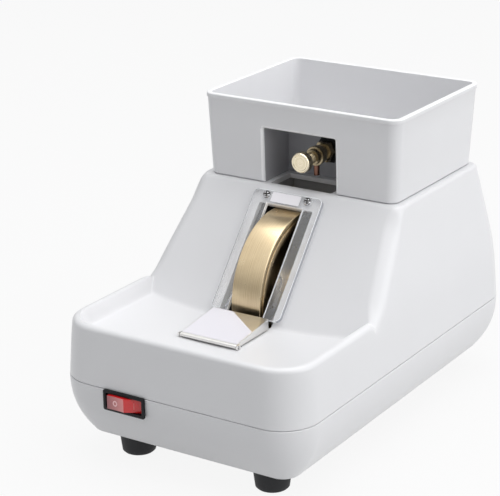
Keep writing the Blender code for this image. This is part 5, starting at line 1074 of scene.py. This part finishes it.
def make_screw_tree():
    """Round-headed screws with a cross recess, one on each point that comes in."""
    growth = Growth("cross_head_screws", Head_Radius=0.0026, Head_Height=0.0017, Shank_Radius=0.0013, Length=0.006,
                    Recess_Share=0.76, Turn=(0.0, 0.0, 0.0))
    given, times = growth.given, growth.times
    radius, height, length = given["Head Radius"], given["Head Height"], given["Length"]
    dome = growth.shape("UVSphere", scale=growth.vector(radius, radius, height), Segments=36, Rings=20, Radius=1.0)
    wide = times(radius, 4.0)
    upper = growth.shape("Cube", growth.up(times(wide, 0.5)), Size=growth.vector(wide, wide, wide))
    middle = growth.maths("ADD", times(length, -0.5), times(height, 0.1))
    shank = growth.shape("Cylinder", growth.up(middle), Vertices=24, Radius=given["Shank Radius"],
                         Depth=growth.maths("ADD", length, times(height, 0.2)))
    screw = growth.joined("UNION", growth.joined("INTERSECT", dome, upper), shank)
    arm, thin, deep = times(times(radius, given["Recess Share"]), 2.0), times(radius, 0.36), times(height, 1.6)
    cross = [growth.shape("Cube", growth.up(height), Size=growth.vector(x, y, deep))
             for x, y in ((arm, thin), (thin, arm))]
    return growth.end(growth.on_points(growth.joined("DIFFERENCE", screw, *cross), Rotation=given["Turn"]))


def make_foot_tree():
    """Tapered rubber feet with a screw well and a rounded tread edge, one under each point that comes in."""
    growth = Growth("rubber_feet", Top_Radius=FOOT_TOP_RADIUS, Bottom_Radius=FOOT_BOTTOM_RADIUS,
                    Height=FOOT_HEIGHT - GAP, Web=FOOT_WEB, Well_Radius=FOOT_WELL_RADIUS, Hole_Radius=0.0019)
    given, times = growth.given, growth.times
    height, wide = given["Height"], given["Bottom Radius"]
    low, edge = times(height, -1.0), times(wide, 0.10)
    body = growth.shape("Cone", growth.up(growth.maths("ADD", low, edge)), Vertices=56, Side_Segments=5,
                        Radius_Top=given["Top Radius"], Radius_Bottom=wide,
                        Depth=growth.maths("SUBTRACT", height, edge))
    tread = growth.shape("Cone", growth.up(low), Vertices=56, Side_Segments=2, Radius_Top=wide,
                         Radius_Bottom=growth.maths("SUBTRACT", wide, edge), Depth=edge)
    well = growth.shape("Cylinder", growth.up(low), Vertices=40, Radius=given["Well Radius"],
                        Depth=times(growth.maths("SUBTRACT", height, given["Web"]), 2.0))
    hole = growth.shape("Cylinder", growth.up(times(height, -0.5)), Vertices=28, Radius=given["Hole Radius"],
                        Depth=times(height, 3.0))
    foot = growth.joined("DIFFERENCE", growth.joined("UNION", body, tread), well, hole)
    return growth.end(growth.on_points(foot))


KNURLS = make_knurl_tree()
SCREWS = make_screw_tree()
RUBBER_FEET = make_foot_tree()
CORNERS = ("front_left", "front_right", "rear_left", "rear_right")


def points_at(places):
    """Loose points, one for each casing place."""
    bm = bmesh.new()
    for place in places:
        bm.verts.new(place)
    return bm


def make_screw_row(name, places, nodes, turn, **sizes):
    """A row of equal screws, with painted shade in their recesses."""
    values = {key.replace("_", " "): value for key, value in sizes.items()}
    screws = make_piece(name, points_at(places), "plated_steel", stands_for=nodes, smooth=40.0,
                        grown=(SCREWS, {"Turn": turn, **values}))
    turned_back = Euler(turn).to_matrix().inverted()

    def in_recess(centre, normal):
        for place in places:
            x, y, z = turned_back @ (centre - Vector(place))
            share = math.hypot(x, y) / sizes["Head_Radius"]
            if share < 0.9 and 0.05 < z / sizes["Head_Height"] < math.sqrt(1 - share * share) - 0.1:
                return True
        return False

    # Painted shade in the cross recesses
    dress(screws, RECESS_PAINTED_SHADE, in_recess)


def make_screws():
    """Every set of screws that shows: guard, inlet, case and foot."""
    lift = GAP * 2 + GUARD_THICKNESS
    places = [PANEL_FRAME @ Vector((WHEEL_X + side * GUARD_SCREW_X, GUARD_SCREW_Y, lift)) for side in (-1, 1)]
    make_screw_row("guard_screws", places, ["guard_screw_left", "guard_screw_right"], (PANEL_SLOPE, 0, 0.4),
                   Head_Radius=0.0026, Head_Height=0.0017, Shank_Radius=0.0013, Length=GUARD_THICKNESS + WALL)
    x, y, z = INLET_AT
    places = [(x + side * INLET_SCREW_X, y + GAP + 0.0014, z) for side in (-1, 1)]
    make_screw_row("inlet_screws", places, ["inlet_screw_1", "inlet_screw_2"], (math.radians(-90), 0, 0),
                   Head_Radius=0.0026, Head_Height=0.0009, Shank_Radius=0.0014, Length=0.0044, Recess_Share=0.6)
    places = [(x, y, -WALL * 3 - GAP) for x, y in BOSSES]
    make_screw_row("case_screws", places, [f"case_screw_{name}" for name in CORNERS], (math.pi, 0, 0),
                   Head_Radius=BOSS_HEAD_RADIUS, Head_Height=0.0022, Shank_Radius=BOSS_SCREW_RADIUS, Length=0.018)
    places = [(x, y, -TRAY_HEIGHT - GAP * 2 - FOOT_WEB) for x, y in FEET]
    make_screw_row("foot_screws", places, [f"foot_screw_{name}" for name in CORNERS], (math.pi, 0, 0),
                   Head_Radius=0.0032, Head_Height=0.0024, Shank_Radius=FOOT_SCREW_RADIUS, Length=FOOT_WEB + WALL)


def make_feet():
    """The four rubber feet."""
    places = [(x, y, -TRAY_HEIGHT - GAP) for x, y in FEET]
    make_piece("rubber_feet", points_at(places), "black_rubber", stands_for=[f"foot_{name}" for name in CORNERS],
               smooth=40.0, grown=(RUBBER_FEET, {}))


# Clear guard and its bare strip


def make_guard():
    """The clear plate over the wheel window, slotted up from its foot, with clouded sawn edges that carry a painted
    glow, and painted shade on its outer sides.
    """
    foot, half, slot = -GUARD_TOP - GUARD_LENGTH, GUARD_HALF_WIDTH, GUARD_SLOT_HALF_WIDTH
    changes = Changes()
    changes.cut(on_panel(block(WHEEL_X - slot, WHEEL_X + slot, foot - OVERRUN, -GUARD_SLOT_TOP, -OVERRUN,
                               GUARD_THICKNESS + OVERRUN)))
    for side in (-1, 1):
        hole = bar(SCREW_HOLE_RADIUS, -OVERRUN, GUARD_THICKNESS + OVERRUN, 28)
        changes.cut(on_panel(placed(hole, (WHEEL_X + side * GUARD_SCREW_X, GUARD_SCREW_Y, 0))))
    outline = rounded(WHEEL_X - half, WHEEL_X + half, foot, -GUARD_TOP, 0.004, 10)
    top = GAP + GUARD_THICKNESS
    guard = make_piece("guard_plate", on_panel(raised(outline, GAP, top)), "clear_acrylic", stands_for=["splash_guard"],
                       changes=changes, bevel=0.0006)
    facing = PANEL_FRAME.to_3x3() @ Vector((0, 0, 1))
    # Frosted sawn edges with a painted glow
    dress(guard, SAWN_ACRYLIC_GLOW, lambda centre, normal: abs(normal.dot(facing)) < 0.95)
    # Painted shade on the grey outer sides of the plate
    dress(guard, SHADED_ACRYLIC, lambda centre, normal: abs(normal.dot(facing)) < 0.6
          and abs(centre.x - WHEEL_X) > half - 0.003)
    strip = rounded(WHEEL_X - 0.0112, WHEEL_X + 0.0098, -0.0119, -0.0052, 0.0006, 4)
    make_piece("guard_bare_strip", on_panel(raised(strip, top - 0.00005, top + 0.00012)), "capacitor_case",
               finish=BARE_LABEL)


# Lens rest

REST_HALF_WIDTH = 0.02035
REST_LONG = 0.036
REST_SHEET = 0.0010
REST_KNUCKLE = 0.0013
REST_FLOOR_Z = deck_height(0.02465)
REST_HINGE = (WHEEL_X, 0.0455, REST_FLOOR_Z + GAP + REST_KNUCKLE)
REST_RISE = 0.0310 - REST_HINGE[2]


def make_rest():
    """The steel ramp with side flanges, rolled round its pin in front, and the bare sticker on it."""
    foot = REST_FLOOR_Z + 0.0007 - REST_HINGE[2]
    start = REST_KNUCKLE * 2
    slope = (REST_RISE - REST_KNUCKLE) / REST_LONG
    turns = [math.radians(90 + 240 * i / 24) for i in range(25)]
    strip = [(REST_LONG, REST_RISE)]
    strip += [(REST_KNUCKLE * math.cos(turn), REST_KNUCKLE * math.sin(turn)) for turn in turns]
    strip.append((start, REST_KNUCKLE + slope * start - REST_SHEET))
    outline = strip + [(start, foot), (REST_LONG, foot), (REST_LONG, REST_RISE - REST_SHEET)]
    inner, count = REST_HALF_WIDTH - REST_SHEET, len(strip)
    bm = bmesh.new()
    rows = [[bm.verts.new((x, y, z)) for y, z in outline] for x in (-REST_HALF_WIDTH, -inner, inner, REST_HALF_WIDTH)]

    def skin(one, other):
        for i in range(len(one)):
            bm.faces.new((one[i - 1], one[i], other[i], other[i - 1]))

    skin(*rows[:2])
    skin(*rows[2:])
    skin(*(row[:count] + row[-1:] for row in rows[1:3]))
    for side in (rows[1][count - 1:], rows[2][count - 1:], rows[0], rows[3]):
        bm.faces.new(side)
    reach = REST_HALF_WIDTH + OVERRUN
    changes = Changes()
    changes.cut(bar(0.001, -reach, reach, 24), REST_HINGE, "X")
    make_piece("rest_ramp", placed(bm, REST_HINGE), "stainless_steel", "rest", ["lens_rest"], changes, bevel=0.00018)
    side, far = REST_HALF_WIDTH - 0.0005, REST_LONG - 0.0004
    sticker = raised([(-side, 0.0009), (side, 0.0009), (side, 0.0178), (-0.0050, far), (-side, far)], -0.00004, 0.00013)
    sticker.transform(Matrix.Translation((0, 0, REST_KNUCKLE)) @ Matrix.Rotation(math.atan(slope), 4, "X"))
    make_piece("rest_bare_sticker", placed(sticker, REST_HINGE), "capacitor_case", "rest", finish=BARE_STICKER)
    end = REST_HALF_WIDTH + GAP + 0.0010
    profile = [(0, -end), (0.0005, -end), (0.0007, -end + 0.0002), (0.0007, end - 0.0002), (0.0005, end), (0, end)]
    make_piece("rest_pin", placed(spun(profile, 24), REST_HINGE, "X"), "plated_steel", stands_for=["rest_hinge_pin"])


# Grinding wheel


def make_wheel():
    """The bonded grinding rim and the turned body that carries it."""
    at, half, rim = (WHEEL_X, WHEEL_Y, WHEEL_Z), WHEEL_HALF_WIDTH, WHEEL_RADIUS - 0.0035
    band = [(rim, -half), (WHEEL_RADIUS, -half), (WHEEL_RADIUS, half), (rim, half)]
    make_piece("grinding_rim", placed(spun(soft_corners(band, 0.0007, 4), 180), at, "X"), "bronze_bond", "spindle",
               ["grinding_band"])
    rim -= GAP
    inner, web, boss, hub, bore = rim - 0.004, 0.003, 0.016, 0.007, 0.0043
    side = [(bore, -hub), (boss, -hub), (boss, -web), (inner, -web), (inner, -half), (rim, -half)]
    body = side + [(radius, -height) for radius, height in side[::-1]]
    make_piece("wheel_body", placed(spun(soft_corners(body, 0.0004, 2), 120), at, "X"), "bronze_bond", "spindle",
               ["wheel_core"])


# Drip valve


def hex_nut(width, z0, z1):
    """A hexagon across its flats."""
    corner = width / math.sqrt(3)
    turns = [math.radians(60 * i) for i in range(6)]
    return raised([(corner * math.cos(turn), corner * math.sin(turn)) for turn in turns], z0, z1)


def make_nut(name, width, z0, z1, axis, slot, node):
    """A hexagon nut on the valve's axis, its corners turned off by a cone at both faces."""
    corner = width / math.sqrt(3) + 0.0001
    lean = (width / math.sqrt(3) - width / 2) * 0.6
    flat = width / 2 - lean * 0.4
    crown = spun([(0, z0 - lean), (flat, z0), (corner, z0 + lean * 1.1), (corner, z1 - lean * 1.1), (flat, z1),
                  (0, z1 + lean)], 60)
    changes = Changes([("INTERSECT", placed(crown, VALVE_AT, axis))])
    changes.cut(bar(VALVE_HOLE_RADIUS, z0 - OVERRUN, z1 + OVERRUN, 40), VALVE_AT, axis)
    make_piece(name, placed(hex_nut(width, z0, z1), VALVE_AT, axis), slot, stands_for=[node], changes=changes)


def make_valve():
    """The brass drip valve: turned body with its hexagon, threaded neck, outlet and copper pipe."""
    x, y, z = VALVE_AT
    bore, inside = 0.0020, 0.0101
    hex_start, body_start, ring, ring_end, body_end, neck_end = 0.0063, 0.0118, 0.0170, 0.0220, 0.0258, 0.0333
    slim, body, collar, neck = 0.0047, 0.0050, 0.0063, 0.0036
    profile = [(bore, -inside), (slim, -inside), (slim, body_start), (body, body_start), (body, ring - 0.0004),
               (slim, ring - 0.0004), (slim, ring), (collar, ring), (collar, ring_end), (body, ring_end),
               (body, body_end), (neck, body_end)]
    thread = body_end + 0.0008
    while thread < neck_end - 0.0012:
        profile += [(neck, thread), (neck - 0.00025, thread + 0.00025), (neck, thread + 0.0005)]
        thread += 0.0007
    profile += [(neck, neck_end), (bore, neck_end)]
    pipe_at = (x, y - 0.0195, z)
    outlet = spun([(0, -0.0083), (0.0022, -0.0083), (0.0022, -0.00306), (0.00085, -0.00306), (0.00085, 0), (0, 0)], 24)
    changes = Changes()
    changes.add(hex_nut(0.0125, hex_start, body_start + GAP), VALVE_AT, "-Y")
    changes.cut(outlet, pipe_at)
    make_piece("valve_turned_body", placed(spun(soft_corners(profile, 0.00018, 2), 64), VALVE_AT, "-Y"), "turned_brass",
               stands_for=["valve_body"], changes=changes)
    make_nut("valve_black_nut", 0.0160, 0.0015, 0.0060, "-Y", "black_nylon", "valve_lock_nut")
    start = TANK_WALL + GAP + 0.0012 + GAP
    make_nut("valve_inner_nut", 0.01375, start, start + 0.0045, "Y", "turned_brass", "valve_tank_nut")
    tube = [(0.0014, -0.0130), (0.0019, -0.0130), (0.0019, -0.00336), (0.0014, -0.00336)]
    make_piece("valve_drip_pipe", placed(spun(soft_corners(tube, 0.00015, 2), 32), pipe_at), "copper_tube",
               stands_for=["outlet_pipe"])
    near, far, radius = neck_end + GAP * 3, neck_end + GAP * 3 + 0.0060, 0.0064
    profile = [(0, near), (0.0056, near), (radius, near + 0.0007), (radius, far - 0.0007), (0.0060, far - 0.0001),
               (0.0058, far), (0.0051, far), (0.0048, far - 0.0003), (0, far - 0.00035)]
    knob = placed(spun(soft_corners(profile, 0.00012, 2), 72), VALVE_AT, "-Y")
    ribs = {"Radius": radius, "Length": far - near - 0.0016, "Rib": 0.00042, "Count": 40,
            "Place": CASING_FRAME @ Vector((x, y - (near + far) / 2, z)), "Turn": (math.radians(90), 0, 0)}
    make_piece("valve_ribbed_knob", knob, "turned_brass", "knob", ["valve_knob"], grown=(KNURLS, ribs),
               finish=KNOB_BRASS)


# Rocker switch

ROCKER_TILT = math.radians(12.0)
ROCKER_PIVOT = 0.0035
FACE_STEPS = 10


def make_switch():
    """The narrow rocker switch: bezel, tilted red rocker, and its raised O and I marks."""
    x, _, z = SWITCH_AT
    half, tall, frame_depth = 0.01515, 0.00665, 0.0018
    cut_x, cut_z = half - 0.0020, tall - 0.0020
    changes = Changes()
    half_x, half_z = SWITCH_BODY_HALF_WIDTH, SWITCH_BODY_HALF_HEIGHT
    changes.add(block(x - half_x, x + half_x, -frame_depth / 2, 0.021, z - half_z, z + half_z))
    changes.cut(block(x - cut_x, x + cut_x, -frame_depth - OVERRUN, 0.009, z - cut_z, z + cut_z))
    for tab in (x - 0.008, x, x + 0.008):
        changes.add(block(tab - 0.0004, tab + 0.0004, 0.018, 0.029, z - 0.0024, z + 0.0024))
    bezel = placed(raised(rounded(-half, half, -tall, tall, 0.0012, 6), GAP, frame_depth), SWITCH_AT, "-Y")
    make_piece("switch_bezel", bezel, "black_nylon", stands_for=["switch_body"], changes=changes, bevel=0.00028)
    reach = cut_x - GAP * 4
    face = -ROCKER_PIVOT - frame_depth
    rise, tip, sag = reach * math.tan(ROCKER_TILT), face - 0.0022, 0.00035
    left = [(-reach + reach * share, tip + rise * (1 - share) + sag * math.sin(math.pi * share))
            for share in (i / FACE_STEPS for i in range(FACE_STEPS + 1))]
    right = [(-px, py) for px, py in left[-2::-1]]
    foot = ROCKER_PIVOT / 3
    outline = left + right + [(reach * 0.95, face + rise), (foot, foot), (-foot, foot), (-reach * 0.95, face + rise)]
    tilt = Matrix.Rotation(ROCKER_TILT, 2)
    outline = [tuple(tilt @ Vector(point)) for point in outline]
    rocker = placed(raised(outline, GAP - cut_z, cut_z - GAP), (x, ROCKER_PIVOT, z))
    lens = make_piece("switch_red_rocker", rocker, "red_lens", "rocker", ["switch_rocker"], bevel=0.0002)
    ridge = x + outline[FACE_STEPS][0]
    # Painted sheen: the rocker's left face is paler than the right, and paler still towards the ridge
    dress(lens, LENS_PAINTED_SHEEN, lambda centre, normal: centre.x < ridge and normal.y < -0.5)

    def make_mark(name, bm, share, finish):
        """A flat mark on the rocker's face, at a share of -1 at its left tip to 1 at its right."""
        whole = (share + 1) * FACE_STEPS
        i = int(whole)
        a, b = Vector(outline[i]), Vector(outline[i + 1])
        spot, along = a + (b - a) * (whole - i), (b - a).normalized()
        turn = Matrix(((along.x, 0, along.y), (along.y, 0, -along.x), (0, 1, 0))).to_4x4()
        bm.transform(Matrix.Translation((x + spot.x, ROCKER_PIVOT + spot.y, z)) @ turn)
        make_piece(name, bm, "capacitor_case", "rocker", finish=finish)

    thick = 0.0001
    rings = ((0.0009, -thick), (0.0016, -thick), (0.0016, thick), (0.0009, thick))
    ring = [[(px * wide, py * wide * 1.15, height) for px, py in circle_points(1.0, 40)] for wide, height in rings]
    make_mark("switch_off_mark", lofted(ring, loop=True), -0.52, CLEAR_MARK)
    stroke = raised(rounded(-0.00032, 0.00032, -0.0021, 0.0021, 0.0002, 3), -thick, thick)
    make_mark("switch_on_mark", stroke, 0.52, FAINT_MARK)


# Mains inlet and drain spout


def make_inlet():
    """The three-pin mains inlet in the back wall."""
    x, y, z = INLET_AT
    y += GAP
    wide, tall, thick = INLET_HALF_WIDTH, INLET_HALF_HEIGHT, 0.0025
    half_x, half_z = INLET_BODY_HALF_WIDTH, INLET_BODY_HALF_HEIGHT
    changes = Changes()
    changes.add(block(x - half_x, x + half_x, y - 0.020, y + thick / 2, z - half_z, z + half_z))
    half_x, half_z, chamfer = 0.0121, 0.0080, 0.0040
    back, front = thick - 0.0165, thick + OVERRUN
    socket = [(-half_x, -half_z), (half_x, -half_z), (half_x, half_z - chamfer), (half_x - chamfer, half_z),
              (chamfer - half_x, half_z), (-half_x, half_z - chamfer)]
    changes.cut(lofted([[(x + px, y + deep, z + pz) for px, pz in socket] for deep in (back, front)]))
    for side in (-1, 1):
        hole, sunk = INLET_HOLE_RADIUS, 0.0030
        sink = [(0, -OVERRUN), (hole, -OVERRUN), (hole, thick - 0.0014), (sunk, thick), (sunk, front), (0, front)]
        changes.cut(spun(sink, 32), (x + side * INLET_SCREW_X, y, z), "Y")
    plate = placed(raised(rounded(-wide, wide, -tall, tall, 0.0056, 10), 0, thick), (x, y, z), "Y")
    make_piece("inlet_housing", plate, "black_nylon", stands_for=["mains_inlet"], changes=changes, bevel=0.0003)
    for name, px, pz in (("left", -0.007, -0.002), ("middle", 0.0, 0.002), ("right", 0.007, -0.002)):
        outline = rounded(px - 0.001, px + 0.001, pz - 0.002, pz + 0.002, 0.0003, 3)
        pin = placed(raised(outline, back - 0.001, back + 0.0145, 0.0004), (x, y, z), "Y")
        make_piece(f"inlet_pin_{name}", pin, "plated_steel")


def make_spout():
    """The barbed drain spout in the tray's back wall."""
    inner, barb, bore, wide = SPOUT_DEEP + 0.009, SPOUT_RADIUS * 0.83, 0.0031, SPOUT_RADIUS
    profile = [(bore, -inner), (barb, -inner), (barb, 0.009 - inner), (wide, 0.009 - inner), (wide, 0), (0.0085, 0),
               (0.0085, 0.002), (barb, 0.002), (barb, 0.0045), (wide, 0.0055), (barb, 0.0075), (0.0037, 0.010),
               (bore, 0.010)]
    spout = placed(spun(soft_corners(profile, 0.00025, 2), 56), (WHEEL_X, SPOUT_FACE_Y + GAP, SPOUT_Z), "Y")
    make_piece("drain_barb", spout, "black_nylon", stands_for=["drain_spout"])


for make in (make_housing, make_tray, make_tank, make_guard, make_rest, make_wheel, make_valve, make_switch, make_inlet,
             make_spout, make_screws, make_feet):
    make()


# Stage: floor, light and camera


def make_floor():
    """A plain pale floor that stays white to the camera and keeps the edger's soft shadow."""
    material, sheet, _ = new_finish("white_floor", Roughness=0.9, Base_Color=(0.6, 0.6, 0.6, 1), Specular_IOR_Level=0.0)
    glow = sheet.node("ShaderNodeEmission", Color=(1, 1, 1, 1), Strength=1.0).outputs[0]
    plain = sheet.tree.nodes["Principled BSDF"].outputs[0]
    sheet.show(sheet.times(sheet.rays("Camera", "Glossy", "Transmission"), 0.9), plain, glow)
    bm = bmesh.new()
    bmesh.ops.create_circle(bm, cap_ends=True, segments=64, radius=6.0)
    mesh = bpy.data.meshes.new("floor")
    bm.to_mesh(mesh)
    bm.free()
    mesh.materials.append(material)
    floor = bpy.data.objects.new("floor", mesh)
    bpy.context.scene.collection.objects.link(floor)


def make_world():
    """An even pale room that is plain white where the camera sees it, and darker low down in reflections."""
    world = bpy.data.worlds.new("pale_room")
    bpy.context.scene.world = world
    world.use_nodes = True
    sheet = Sheet(world.node_tree)
    room = world.node_tree.nodes["Background"]
    room.inputs["Color"].default_value = (0.97, 0.985, 1.0, 1)
    room.inputs["Strength"].default_value = 0.46
    upward = sheet.parts(sheet.node("ShaderNodeTexCoord").outputs["Generated"])["Z"]
    strength = sheet.maths("MAXIMUM", sheet.rays("Camera"), sheet.remap(upward, 0.05, 0.62, 0.34, 1.0))
    white = sheet.node("ShaderNodeBackground", Color=(1, 1, 1, 1), Strength=strength).outputs[0]
    sheet.show(sheet.rays("Camera", "Glossy", "Transmission"), room.outputs[0], white, "World Output")


def make_lamp(name, place, aim, width, power):
    """A square soft lamp turned to a point."""
    data = bpy.data.lights.new(name, "AREA")
    data.shape, data.size, data.energy = "SQUARE", width, power
    lamp = bpy.data.objects.new(name, data)
    bpy.context.scene.collection.objects.link(lamp)
    lamp.location = place
    lamp.rotation_euler = (Vector(aim) - Vector(place)).to_track_quat("-Z", "Y").to_euler()


# The photograph's view: a 500 x 496 frame with its lens shift
IMAGE_WIDTH, IMAGE_HEIGHT = 500, 496
FOCAL_PIXELS = 1808.47
AXIS_PIXEL = (285.57, 247.07)
CAMERA_TURNS = (31.83, 19.47, -0.41)
CAMERA_DISTANCE = 1.14968
CAMERA_TARGET = (0.0, -0.01247, 0.1139)
SENSOR_WIDTH = 36.0


def make_camera():
    """The camera where the photograph was taken from, turned by its azimuth, height and roll."""
    a, e, r = (math.radians(turn) for turn in CAMERA_TURNS)
    back = Vector((math.sin(a) * math.cos(e), -math.cos(a) * math.cos(e), math.sin(e)))
    level_axis = Vector((math.cos(a), math.sin(a), 0))
    upward = back.cross(level_axis)
    right = level_axis * math.cos(r) + upward * math.sin(r)
    up = upward * math.cos(r) - level_axis * math.sin(r)
    data = bpy.data.cameras.new("photo_camera")
    data.sensor_width = SENSOR_WIDTH
    data.lens = FOCAL_PIXELS * SENSOR_WIDTH / IMAGE_WIDTH
    data.shift_x = (IMAGE_WIDTH / 2 - AXIS_PIXEL[0]) / IMAGE_WIDTH
    data.shift_y = (AXIS_PIXEL[1] - IMAGE_HEIGHT / 2) / IMAGE_WIDTH
    data.clip_start = 0.01
    camera = bpy.data.objects.new("photo_camera", data)
    bpy.context.scene.collection.objects.link(camera)
    place = Vector(CAMERA_TARGET) + back * CAMERA_DISTANCE
    camera.matrix_world = Matrix.Translation(place) @ Matrix((right, up, back)).transposed().to_4x4()
    bpy.context.scene.camera = camera


make_floor()
make_world()
make_lamp("overhead_softbox", (0.15, 0.1, 1.5), (0, 0, 0.1), 1.6, 17.2)
make_lamp("side_softbox", (1.5, 0.1, 0.7), (0, 0, 0.08), 1.2, 9.2)
make_camera()
bpy.context.scene.view_settings.view_transform = "Standard"
